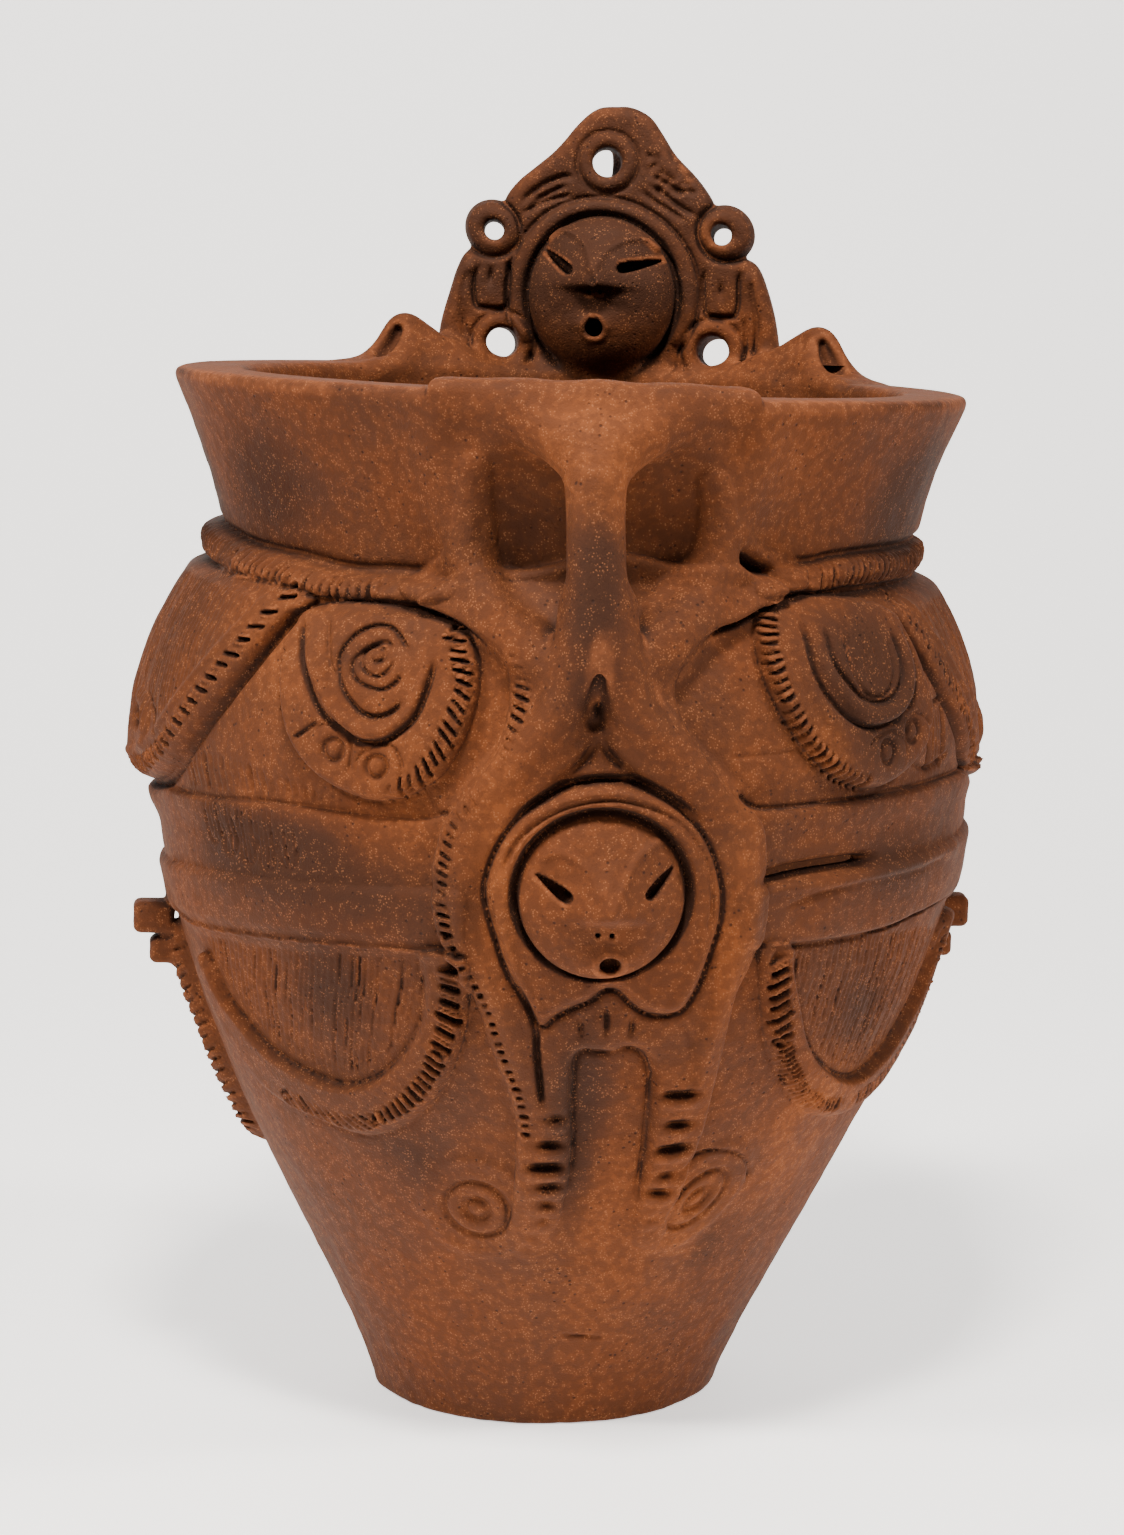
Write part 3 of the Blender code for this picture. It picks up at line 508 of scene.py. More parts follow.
def side_flap(wall, place, pitch, seed, proud, swell):
    """The wide flap on the jar's side, with a combed face and a notched edge. Its lower part
    stands out by the swell as well."""
    front = [(-47, 368), (-48.6, 360), (-50.8, 350), (-53.5, 339), (-57, 327), (-60.5, 316), (-63.6, 307),
             (-67.5, 297), (-72, 289), (-78, 282), (-84, 278), (-90, 276.5)]
    back = [(-96, 278), (-102, 282), (-108, 289), (-112.5, 297), (-116.4, 307), (-119.5, 316), (-123, 327),
            (-126.5, 339), (-129.2, 350), (-131.4, 360), (-133, 368), (-112, 372), (-90, 373), (-68, 372)]
    pad(wall, place(front + back), proud, 0.0058)
    edge = front + back[:11]
    roll(wall, place([(-90, 352, 24, 0.1 * swell), (-90, 332, 26, 0.4 * swell), (-90, 312, 24, 0.8 * swell),
                      (-90, 297, 20, swell), (-90, 286, 15, swell)]), soft=1.0)
    groove(wall, place([(a, h - 5) for a, h in front]), 0.0016, 0.0014, taper=0.01)
    middle = place([(a * 1.0 - (1.8 if a > -90 else -1.8), h + 4.0) for a, h in edge])
    notches(wall, middle, pitch, 0.0085, 0.0030, slant=0.75, width=0.17, seed=seed, lip=0.3)
    rim = place([(a - (4.2 if a > -90 else -4.2), h + 9.5) for a, h in edge])
    roll(wall, rim, 0.0022, 0.0010)
    comb(wall, place([(-55, 366), (-58, 350), (-64, 328), (-71, 310), (-80, 298), (-90, 295), (-100, 298),
                      (-109, 310), (-116, 328), (-122, 350), (-125, 366), (-90, 370)]), 0.0034, 0.0008,
         lean=0.0, seed=seed + 1, wander=0.6)
    groove(wall, place([(-79, 317), (-76.4, 314), (-74.3, 309), (-72.9, 301)]), 0.0013, 0.0016, taper=0.006)
    roll(wall, place([(-85, 314, 4, 1.0), (-80.5, 312, 5, 2.0), (-78.4, 304, 5, 2.2), (-80, 295, 4, 1.4)]))
    ringed_dot(wall, place([(-85.5, 304)])[0], 0.0055, 0.0018, 0.0026)


def combed_shoulder(wall):
    """Rows of short scratches below the left pads and blocks below the right ones."""
    comb(wall, mm([(-63, 299), (-50, 298), (-42, 294), (-37, 289), (-36, 286), (-46, 284), (-56, 282),
                   (-66, 280), (-69, 286)]), 0.0046, 0.0010, lean=0.05, seed=31, wander=0.4)
    for a, low in ((-60, 262), (-56.3, 258), (-52.4, 256), (-48.4, 255), (-44.4, 257)):
        finger = [(a - 1.7, 278), (a - 1.9, 268), (a - 1.4, low + 1), (a, low - 1.5), (a + 1.4, low + 1),
                  (a + 1.9, 268), (a + 1.7, 279)]
        comb(wall, mm(finger), 0.0028, 0.0009, seed=int(-a), soft=0.0015)
        groove(wall, mm(finger[1:-1]), 0.0009, 0.0006, taper=0.004)
    groove(wall, mm([(51, 328), (53, 326), (55.5, 327.5), (58.5, 328)]), 0.0011, 0.0012, taper=0.002)
    groove(wall, mm([(52.4, 325), (52.6, 312), (53.4, 298)]), 0.0012, 0.0014, taper=0.002)
    groove(wall, mm([(57.6, 326), (57.8, 312), (57.4, 298)]), 0.0012, 0.0012, taper=0.002)
    groove(wall, mm([(48, 304), (52, 300), (55, 300), (60, 304)]), 0.0012, 0.0010, taper=0.002)
    comb(wall, mm([(52.8, 323), (53, 300), (57, 300), (57.5, 323)]), 0.0030, 0.0006, seed=36, soft=0.002)
    groove(wall, mm([(15.5, 312), (20.7, 312.5), (26, 314)]), 0.0010, 0.0006, taper=0.004)


def u_pendant(wall, place, seed):
    """The U-shaped band of clay that hangs from the belly band, with combed clay in it."""
    inner = [(-23.8, 227), (-23.9, 213), (-24.5, 200), (-26.2, 189), (-28.9, 179), (-32.9, 169), (-37.4, 163),
             (-42.5, 161), (-49.2, 164), (-56.6, 171), (-61.6, 181), (-65.4, 192), (-67.7, 207)]
    outer = [(-17.8, 227), (-17.9, 215), (-18.5, 201), (-19.8, 187), (-22.6, 170), (-27.6, 154.5), (-33.5, 144),
             (-39.4, 139.5), (-46.5, 141), (-54, 145), (-61, 151), (-66.5, 164), (-70, 179), (-71.7, 199)]
    comb(wall, place([(-24.5, 226), (-25, 205), (-28, 187), (-35, 171), (-43, 165), (-52, 171), (-60, 184),
                      (-65, 203), (-66, 217), (-45, 222)]), 0.0034, 0.0010, lean=-0.28, seed=seed, wander=0.5)
    pad(wall, place(outer + inner[::-1]), 0.0046, 0.0044)
    groove(wall, place(inner), 0.0015, 0.0013, taper=0.006)
    groove(wall, place(outer[1:10]), 0.0018, 0.0011, taper=0.02)
    line = [(-20.2, 221), (-20.2, 210), (-20.8, 198), (-22.4, 184), (-25.2, 170), (-29.6, 157.5),
            (-34.6, 149), (-40, 145), (-46.5, 146), (-53.5, 150)]
    notches(wall, place(line[:4]), 0.0072, 0.0105, 0.0026, slant=-0.25, width=0.22, seed=seed + 1, lip=0.5)
    notches(wall, place(line[3:7]), 0.0043, 0.0085, 0.0022, slant=-0.2, width=0.25, seed=seed + 2, lip=0.4)
    notches(wall, place(line[6:]), 0.0046, 0.0110, 0.0011, slant=0.9, width=0.2, seed=seed + 3)


def right_pendant(wall, place, seed):
    inner = [(27.2, 231), (28.2, 221), (30, 209), (33, 192), (37, 178.5), (42.7, 168.5), (48.1, 163),
             (52.5, 162), (57, 166), (62, 175), (66.5, 188), (70, 204), (72, 224)]
    outer = [(22.3, 233), (22.6, 224), (24.3, 208), (26.5, 192), (30.4, 176), (35.4, 162), (43, 149.5),
             (52, 145), (61, 149), (68, 160), (73, 176), (76.5, 197), (78, 224)]
    comb(wall, place([(28.5, 230), (31, 209), (34.5, 191), (39, 178), (46, 168), (53, 166), (59.5, 173),
                      (65, 190), (69, 222), (50, 231)]), 0.0031, 0.0011, lean=0.0, seed=seed, wander=0.4)
    pad(wall, place(outer + inner[::-1]), 0.0046, 0.0044)
    groove(wall, place(inner), 0.0015, 0.0017, taper=0.006)
    groove(wall, place(outer[1:7]), 0.0018, 0.0012, taper=0.02)
    line = [(24.9, 227), (25.6, 216), (26.8, 204), (28.8, 190), (32, 175), (36.4, 163), (42, 155),
            (47.5, 151.5)]
    notches(wall, place(line[:4]), 0.0056, 0.0105, 0.0026, slant=0.25, width=0.24, seed=seed + 1, lip=0.5)
    notches(wall, place(line[3:]), 0.0030, 0.0080, 0.0018, slant=0.15, width=0.28, seed=seed + 2, lip=0.3)
    far = [(73, 214), (71.5, 196), (68.8, 180), (64.6, 166), (59, 156), (53, 152)]
    notches(wall, place(far), 0.0036, 0.0090, 0.0016, slant=0.2, width=0.26, seed=seed + 3)


def side_pendant(wall, place, seed, proud):
    """The deep narrow U below the lugs on the jar's side."""
    line = [(-88, 206), (-87, 187), (-86.6, 165), (-87, 145), (-89, 126), (-94, 113), (-103, 108), (-112, 113),
            (-117, 126), (-119, 145), (-119.4, 165), (-119, 185), (-118, 205), (-117, 216)]
    roll(wall, place([(*point, 6.2, proud) for point in line]), soft=0.2)
    flat = place(line)
    notches(wall, flat, 0.0058, 0.0120, 0.0018, slant=0.9, width=0.2, seed=seed, lip=0.3)
    comb(wall, place([(-91, 214), (-91, 165), (-94, 130), (-103, 120), (-112, 130), (-115, 165),
                      (-115, 214)]), 0.0034, 0.0009, seed=seed + 1, wander=0.5)


def figure(wall):
    """The figure's raised field: its webs, its two legs round the mask, its arms and hands."""
    left = [(-27, 370), (-23.8, 366), (-20.6, 363), (-17.5, 358.5), (-15.2, 355), (-13.4, 349), (-12.8, 340),
            (-12.9, 328), (-13.8, 315), (-15.6, 304), (-18.3, 293), (-20.3, 284), (-21.3, 274), (-22, 265),
            (-22, 255), (-21.8, 246), (-20.8, 233), (-18.8, 220), (-16.6, 207), (-15.2, 193), (-13.7, 179),
            (-12.3, 168), (-11.3, 155), (-11.4, 140), (-11.8, 124), (-12.6, 108), (-14.4, 94), (-14, 86)]
    between = [(-8, 90), (-4.6, 104), (-3.4, 118), (-2.9, 132), (-2.9, 146), (-3.3, 161), (-3.4, 175),
               (-3.4, 184), (-2.2, 188.5), (0, 189), (2.6, 188.5), (4.6, 190.5), (6.6, 189), (8, 185),
               (9, 178), (9.5, 168), (9.9, 155), (10.4, 140), (10.6, 122), (11, 106), (12, 94)]
    right = [(16.5, 92), (17.6, 106), (17.8, 121), (18.4, 136), (19, 150), (18.9, 166), (18.9, 182),
             (18.9, 197), (19.2, 212), (20.6, 226), (21.4, 240), (21.2, 262), (20.4, 280), (18.6, 289),
             (15.6, 296), (13.2, 305), (11, 316), (8.9, 327), (8, 337), (8.1, 344), (9.2, 351), (11.3, 358),
             (14.6, 363.5), (18.4, 366), (22.6, 371), (27, 376), (24, 384), (18, 388), (10, 388),
             (0, 392), (-12, 384), (-20, 384)]
    pad(wall, mm(left + between + right), 0.0046, 0.0036, fade=(0.080, 0.135))
    roll(wall, mm([(-17.6, 280, 7, 0.8), (-18.5, 262, 6.5, 2.4), (-18.2, 246, 6, 2.4), (-16.8, 230, 6, 2.2), (-14.6, 214, 6, 2.0), (-12.4, 197, 6.5, 1.6), (-10.8, 180, 6.5, 1.4),
                   (-9.6, 162, 6, 0.8)]), soft=0.7)
    roll(wall, mm([(16.8, 280, 7, 1.0), (18.2, 262, 6.5, 3.0), (18.6, 246, 6, 3.2), (18.0, 230, 6, 3.0), (17.0, 214, 6, 2.6), (16.2, 197, 6, 2.0), (15.8, 180, 6.5, 1.6),
                   (15.4, 162, 6, 0.8)]), soft=0.7)
    ring = mm([(-0.7, 302), (3.2, 300), (7.6, 293), (11.6, 281), (14.1, 264), (14.9, 249), (14.2, 234),
               (13.0, 218), (11.5, 208), (9.7, 205.5), (6.8, 206), (4.5, 210), (2.8, 215), (1.5, 217),
               (0.0, 216), (-1.4, 212), (-4.1, 208), (-6.2, 204), (-7.8, 200), (-9.6, 209), (-11.8, 221),
               (-13.5, 235), (-15.0, 253), (-14.7, 264), (-13.1, 277), (-10.6, 288), (-7.6, 295),
               (-4.3, 300)])
    level(wall, ring, 0.0024, 0.0022)
    groove(wall, ring, 0.0024, 0.0020, closed=True)
    groove(wall, mm([(-12, 286), (-9.2, 294), (-5.4, 301), (-1, 304.5), (3.8, 302.5), (8.6, 295), (12.2, 285)]),
           0.0022, 0.0034, taper=0.016)
    pad(wall, ring, 0.0050, 0.0030)
    groove(wall, mm([(-13.2, 262), (-11.6, 276), (-8.8, 286), (-4.6, 293.5), (0.4, 296), (5.4, 292), (9.6, 283),
                     (12.6, 268), (13.4, 252), (12.8, 236)]), 0.0016, 0.0016, taper=0.012)
    roll(wall, mm([(-8.2, 206, 3, 0.6), (-10.6, 218, 3.4, 1.2), (-12.2, 233, 3.4, 1.2), (-13.2, 250, 3, 0.6)]))
    roll(wall, mm([(9.4, 207, 3, 0.6), (11.0, 216, 3.4, 1.2), (12.4, 232, 3.4, 1.2), (13.0, 248, 3, 0.6)]))
    reach = MASK_RADIUS + 0.0022
    circle = [(-0.6 + math.degrees(reach * math.cos(a) / float(body_radius(MASK_HEIGHT))),
               MASK_HEIGHT + reach * math.sin(a)) for a in np.linspace(0, 2 * math.pi, 25)[:-1]]
    level(wall, circle, 0.0004, 0.0014)
    level(wall, mm([(-1.2, 306), (-3.4, 309), (-2.8, 316), (-1.5, 322), (-0.4, 316), (0.8, 309)]), 0.0035, 0.003)
    groove(wall, mm([(-1.6, 350), (-1.7, 335), (-1.6, 322)]), 0.0016, 0.0030, taper=0.012)
    groove(wall, mm([(-1.6, 324), (-2.9, 314), (-5.0, 306), (-8.4, 298)]), 0.0030, 0.0028, taper=0.012)
    groove(wall, mm([(-1.6, 324), (-0.1, 314), (2.6, 306), (6, 299)]), 0.0026, 0.0026, taper=0.012)
    notches(wall, mm([(-12.6, 351), (-11.6, 344), (-11.4, 337), (-11.7, 327), (-12.4, 314), (-13.2, 309)]),
            0.0044, 0.0078, 0.0020, slant=-0.35, width=0.22, seed=41, lip=0.35)
    notches(wall, mm([(-13.0, 310), (-14.2, 304), (-16.9, 292), (-18.9, 284), (-19.9, 274), (-20.5, 265),
                      (-20.6, 255), (-20.4, 247), (-19.9, 236)]), 0.0042, 0.0062, 0.0016, slant=-0.3,
            width=0.24, seed=42, lip=0.3)
    notches(wall, mm([(-19.9, 236), (-18.6, 228), (-17.5, 221), (-15.3, 207), (-13.9, 193), (-12.4, 179),
                      (-11.0, 168), (-10.0, 154), (-10, 147)]), 0.0046, 0.0036, 0.0018, slant=-0.1,
            width=0.24, seed=43, lip=0.2)
    for line, depth in (([(-11.6, 222), (-9.8, 210), (-8.7, 198), (-8.3, 184), (-7.8, 172), (-7.4, 161)], 0.0018),
                        ([(-7.8, 200), (-8.4, 193), (-8.2, 182), (-7.6, 165)], 0.0014),
                        ([(-3.0, 206), (-2.4, 200), (-2.4, 193)], 0.0016), ([(4.4, 207), (4.6, 199), (4.2, 193)], 0.0018),
                        ([(0.6, 211), (1.0, 203), (1.0, 194)], 0.0020), ([(11.2, 203), (13.4, 193), (14.5, 178), (15.2, 164)], 0.0006)):
        groove(wall, mm(line), 0.0013, depth, taper=0.008)
    roll(wall, mm([(0.8, 208, 4, 0.6), (0.9, 200, 5.5, 1.6), (1.0, 193, 5, 1.2)]))
    for a, b, depth in (((-7.3, 157), (-3.4, 159), 2.0), ((-8.8, 145), (-3.4, 145.5), 2.6),
                        ((-10.4, 133.5), (-3.0, 135), 3.0), ((-9.4, 124), (-2.9, 126), 2.0),
                        ((-8.4, 116), (-4.0, 115.5), 2.0), ((-8.7, 106), (-5.4, 109), 1.2),
                        ((-10.6, 99), (-7.6, 99), 0.9), ((-11.8, 94), (-9.0, 92), 0.9),
                        ((-14.7, 89), (-12.0, 88), 0.5), ((9.9, 168.5), (17.0, 169), 2.4),
                        ((11.2, 154.5), (17.2, 154.5), 2.4), ((10.7, 142), (17.8, 143.5), 2.8),
                        ((11.5, 130), (16.9, 130.5), 1.6), ((10.5, 122), (16.9, 121.5), 1.8),
                        ((12.2, 108), (15.4, 108.5), 1.0), ((12.4, 102), (15.8, 100.5), 0.7)):
        middle = ((a[0] + b[0]) / 2, (a[1] + b[1]) / 2 - 1.0)
        groove(wall, mm([a, middle, b]), 0.0021, depth / 1000, taper=0.007)
        above = [(a[0], a[1] - 4.5), (middle[0], middle[1] - 4.5), (b[0], b[1] - 4.5)]
        roll(wall, mm([(u, v, 3.4, depth * s) for (u, v), s in zip(above, (0.2, 0.55, 0.2))]))
    groove(wall, mm([(-3.2, 120), (-2.6, 135), (-2.8, 150), (-3.2, 168), (-3.0, 183), (-1.8, 188), (1, 187.5),
                     (4, 190), (6.6, 188), (8.6, 180), (9.3, 168), (9.9, 150), (10.3, 132), (10.6, 116)]),
           0.0022, 0.0012, taper=0.02)


def hand_discs(wall):
    """A soft raised disc with a cut ring and a boss beside each hand."""
    for azimuth, height, slope, ring in ((-19.7, 109.5, 0.0, (14.0, 14.6)), (22.6, 114.5, 0.35, (10.8, 15.2))):
        place = (azimuth, height / 1000)
        window = wall.window(place, place, 0.034)
        rows, cols = window
        x = (wall.across[cols][None, :] - azimuth) * wall.scale[rows][:, None]
        y = (wall.arc[rows] - wall.arc_at(place[1]))[:, None]
        x = x - slope * y
        gap = np.hypot(x / ring[0], y / ring[1]) * 1000
        dome = 0.0014 * (1 - ramp(gap, 0.9, 2.0)) - 0.0019 * np.exp(-((gap - 1.0) / 0.11) ** 2)
        pit = -0.0021 * np.exp(-((gap - 0.37) / 0.15) ** 2)
        halo = 0.0009 * np.exp(-((gap - 1.75) / 0.25) ** 2)
        wall.add(window, dome + pit + halo)
    groove(wall, mm([(16.5, 129), (18.6, 135), (22.8, 138), (28.3, 135), (31.9, 127), (33.5, 119)]), 0.0011,
           0.0011, taper=0.006)
    groove(wall, mm([(-2.2, 46.6), (3.5, 46), (9.8, 45)]), 0.0008, 0.0008, taper=0.003)


def webs(wall):
    """The folds that run from the rope's ends to the openings of the bridge."""
    roll(wall, mm([(-25, 470, 20, 4), (-24.5, 445, 22, 6), (-24, 420, 24, 7.5), (-23.5, 400, 22, 7),
                   (-24, 384, 16, 4)]), soft=1.0)
    roll(wall, mm([(19, 470, 20, 5), (19.5, 445, 22, 7), (19.5, 420, 22, 8), (19, 402, 18, 6), (18, 388, 12, 3)]),
         soft=1.0)
    pad(wall, mm([(-30, 377), (-27, 369.5), (-23.8, 366.5), (-20.6, 363.5), (-17.5, 359.5), (-14.9, 355.5),
                  (-12.9, 350), (-10, 348), (-7, 352), (-9.5, 364), (-11.5, 366), (-13.9, 370), (-15.8, 378),
                  (-17.4, 391), (-17.6, 403), (-18.0, 415), (-17.8, 428), (-20, 428), (-21, 412), (-22, 398),
                  (-24, 388), (-27, 382)]), 0.0050, 0.0110)
    groove(wall, mm([(-31, 367), (-27, 367.5), (-23.8, 365.5), (-20.6, 362.5), (-17.5, 358), (-14.9, 353.5),
                     (-13.2, 349)]), 0.0016, 0.0030, taper=0.014)
    pad(wall, mm([(31, 380), (27, 375.5), (22.6, 371.5), (18.2, 366.5), (14.6, 364), (11.3, 359), (9.2, 352),
                  (7, 350), (4.6, 354), (5.1, 370), (8, 380), (12.8, 391), (13.6, 401), (13.3, 414),
                  (12.5, 424), (15, 424), (16.4, 412), (17.5, 401), (18, 392), (21, 385), (26, 382)]),
        0.0050, 0.0100)
    groove(wall, mm([(31, 373.5), (27, 373), (22.6, 370), (18.2, 365), (14.6, 362.5), (11.3, 357.5), (9.2, 350),
                     (8.4, 344)]), 0.0016, 0.0034, taper=0.014)
    groove(wall, mm([(17.5, 402), (17.4, 395), (16.4, 385), (15.2, 376), (12.8, 372)]), 0.0013, 0.0024,
           taper=0.012)
    groove(wall, mm([(17.6, 397), (19.3, 392.5), (21.4, 388), (24.5, 384), (27, 382.5)]), 0.0024, 0.0062,
           taper=0.014)
    roll(wall, mm([(17.6, 407, 3.5, 0.8), (20.1, 399.5, 4.5, 3.0), (22.9, 393, 5.0, 4.4), (26.6, 388, 5.0, 4.6),
                   (30.5, 386, 5.0, 3.0)]))
    groove(wall, mm([(-22.5, 392), (-20, 392), (-18.5, 398), (-18.2, 410)]), 0.0018, 0.0010, taper=0.012)


def build_wall():
    wall = new_wall()
    hand_shape(wall)
    belly_bands(wall)
    combed_shoulder(wall)
    left_pad(wall, mm)
    right_pad(wall, mm)
    left_pad(wall, lambda points: mm(mirrored(points, -31.5, 142)))
    right_pad(wall, lambda points: mm(mirrored(points, 36, -142)))
    side_flap(wall, mm, 0.0078, 51, 0.0064, 3.0)
    side_flap(wall, lambda points: mm([(point[0], point[1] + max(0.0, 0.3 * (300 - point[1])), *point[2:])
                                       for point in mirrored(points, -90, 93)]), 0.0050, 61, 0.0030, 5.8)
    u_pendant(wall, mm, 71)
    right_pendant(wall, mm, 81)
    u_pendant(wall, lambda points: mm(mirrored(points, -45, 150)), 91)
    right_pendant(wall, lambda points: mm(mirrored(points, 50, -150)), 101)
    side_pendant(wall, mm, 111, 6.8)
    side_pendant(wall, lambda points: mm(mirrored(points, -103, 114)), 121, 4.6)
    roll(wall, mm([(-80, 268, 9, 0.4), (-92, 268, 10, 2.2), (-104, 268, 9, 0.4)]), soft=1.0)
    figure(wall)
    hand_discs(wall)
    wall.relief *= RELIEF_DEPTH
    neck_rope(wall)
    webs(wall)
    return wall


wall = build_wall()


# The field of the clay: below zero inside it

def frame_at(azimuth, radius, height, tip=0.0):
    """A frame at a place: its rows run to +azimuth, up the wall and straight out, tipped down."""
    angle = math.radians(azimuth)
    across = np.array([math.cos(angle), math.sin(angle), 0.0])
    out = np.array([math.sin(angle), -math.cos(angle), 0.0])
    out = math.cos(tip) * out - math.sin(tip) * np.array([0.0, 0.0, 1.0])
    place = np.array([radius * math.sin(angle), -radius * math.cos(angle), height])
    return place, np.stack([across, np.cross(out, across), out])


def to_frame(points, where):
    place, axes = where
    return (points - place.astype(np.float32)) @ axes.T.astype(np.float32)


def polar(azimuth, radius, height):
    angle = math.radians(azimuth)
    return np.array([radius * math.sin(angle), -radius * math.cos(angle), height])


def tube(points, path):
    """Distance to a tube along a path of (x, y, z, radius)."""
    best = np.full(len(points), 1.0, np.float32)
    for a, b in zip(path[:-1], path[1:]):
        step = (b[:3] - a[:3]).astype(np.float32)
        offset = points - a[:3].astype(np.float32)
        share = np.clip(offset @ step / float(step @ step), 0, 1)
        gap = offset - share[:, None] * step
        radius = a[3] + (b[3] - a[3]) * share
        best = np.minimum(best, np.sqrt((gap * gap).sum(1)) - radius)
    return best


def near_path(points, path, reach):
    low = path[:, :3].min(0) - path[:, 3].max() - reach
    high = path[:, :3].max(0) + path[:, 3].max() + reach
    return np.nonzero(np.all((points > low) & (points < high), axis=1))[0]


def add_tube(field, points, path, size):
    near = near_path(points, path, size + 0.004)
    if len(near):
        field[near] = blend_min(field[near], tube(points[near], path), size)


def cut_tube(field, points, path, size):
    near = near_path(points, path, size + 0.004)
    if len(near):
        field[near] = blend_max(field[near], -tube(points[near], path), size)


def polar_path(rows, pieces=4):
    """Smooth path of (azimuth, radius, height, tube radius) rows, as x, y, z, tube radius."""
    rows = smooth_path(rows, pieces)
    return np.array([(*polar(a, r, h), size) for a, r, h, size in rows])


def ellipsoid(local, size):
    size = np.asarray(size, np.float32)
    reach = np.sqrt(((local / size) ** 2).sum(1))
    steep = np.sqrt(((local / size ** 2) ** 2).sum(1)) + 1e-9
    return reach * (reach - 1) / steep


MIDDLE = -3.0
STAND = NECK_RADIUS + 0.032

strut_path = polar_path([
    (MIDDLE + 0.5, RIM_RADIUS - 0.006, RIM_HEIGHT - 0.012, 0.0150),
    (MIDDLE, STAND - 0.001, RIM_HEIGHT - 0.028, 0.0132),
    (MIDDLE, STAND + 0.003, RIM_HEIGHT - 0.046, 0.0118),
    (MIDDLE + 0.5, STAND + 0.004, NECK_HEIGHT - 0.006, 0.0122),
    (MIDDLE + 0.8, STAND + 0.001, NECK_HEIGHT - 0.026, 0.0130)])
leg_paths = [polar_path([(a, float(body_radius(h / 1000)) + out / 1000, h / 1000, size / 1000)
                         for a, h, out, size in rows]) for rows in (
    [(-4.2, 372, 24, 8.4), (-4.6, 358, 17.5, 8.8), (-5.4, 343, 12, 9.2), (-7.0, 329, 7, 9.2), (-9.8, 316, 3.4, 9.0),
     (-13.0, 304, 1.2, 8.4), (-16.0, 292, 0.2, 7.6), (-18.0, 278, -0.6, 6.8), (-18.8, 262, -1.6, 6.0)],
    [(0.0, 372, 24, 8.4), (0.2, 358, 17.5, 8.8), (1.0, 343, 12, 9.2), (3.2, 329, 7, 9.2), (6.6, 316, 3.4, 9.0),
     (10.6, 304, 1.2, 8.4), (14.4, 292, 0.2, 7.6), (17.0, 278, -0.4, 6.8), (18.4, 262, -1.2, 6.2)])]
leg_groove = polar_path([(MIDDLE + 0.9, float(body_radius(h / 1000)) + out / 1000, h / 1000, size / 1000)
                         for h, out, size in ((378, 38.5, 1.0), (372, 33.5, 1.8), (364, 28.5, 2.2), (354, 23.5, 2.4),
                                              (343, 18.5, 2.6), (334, 12.5, 2.8), (326, 5.0, 2.4))])
edge_paths = [polar_path([(MIDDLE + side * a, r, h, size) for a, r, h, size in [
    (4.0, STAND - 0.006, RIM_HEIGHT - 0.018, 0.0110),
    (11.0 + shift * 0.5, RIM_RADIUS - 0.008, RIM_HEIGHT - 0.010, 0.0110),
    (17.5 + shift, NECK_RADIUS + 0.008, RIM_HEIGHT - 0.034, 0.0080),
    (17.0 + shift, NECK_RADIUS + 0.008, NECK_HEIGHT + 0.006, 0.0085),
    (10.5 + shift * 0.5, NECK_RADIUS + 0.019, NECK_HEIGHT - 0.021, 0.0105),
    (4.0, STAND - 0.004, NECK_HEIGHT - 0.034, 0.0100)]]) for side, shift in ((-1, 0.0), (1, 1.6))]
hood_path = polar_path([(a, RIM_RADIUS - 0.006, RIM_HEIGHT - 0.0055, 0.0088) for a in (-23, -12, 0, 8, 16.5)])
behind_strut = polar_path([(a, NECK_RADIUS + 0.0145, h, size) for a, h, size in (
    (-13.0, 0.403, 0.0085), (-9, 0.404, 0.0095), (-3, 0.404, 0.0100), (4, 0.405, 0.0095), (9.0, 0.405, 0.0085))])
mask_frame = frame_at(-0.6, float(body_radius(MASK_HEIGHT)) + 0.0013, MASK_HEIGHT,
                      -0.4 * math.atan(float(look_up(table_slope, MASK_HEIGHT))))


# Plaque: places are (across seen from inside, above the rim), in millimetres

PLATE_OUTLINE = [(-81, -12), (-82, 4), (-81.4, 15.2), (-79.8, 24), (-76.5, 36), (-73.8, 45), (-70.5, 52),
                 (-66, 55), (-58, 55.5), (-50, 56), (-46.5, 62), (-45.5, 68), (-47, 72), (-49.2, 76),
                 (-48.4, 81), (-43, 88), (-36.6, 93.5), (-27.2, 101.5), (-21.3, 108), (-16.6, 114),
                 (-10.8, 120), (-5, 123.4), (2.2, 124), (9.2, 123.8), (17.4, 120), (23.3, 112.6),
                 (30.3, 102.3), (39.7, 93), (45.6, 86), (48.8, 80.6), (47.6, 76), (44.6, 72.5), (44.5, 66),
                 (46.5, 58), (52, 54.5), (60, 53.5), (67, 52.6), (71.2, 48.5), (75, 39.5), (78.6, 28),
                 (81, 16), (82, 6), (81, -12)]
EARS = [((-57.1, 65.6), 12.6, (-55.9, 65.2), 4.8, (-0.10, -0.08)), ((56.0, 66.5), 12.4, (53.8, 66.2), 5.0, (0.06, -0.14))]
HOLES = [((-51.0, 10.6), 7.8, (-0.22, -0.05)), ((50.9, 9.8), 7.8, (0.16, -0.12)), ((-0.8, 98.9), 7.0, (-0.12, -0.08))]


def millimetres(points):
    return [tuple(value / 1000 for value in point) for point in points]


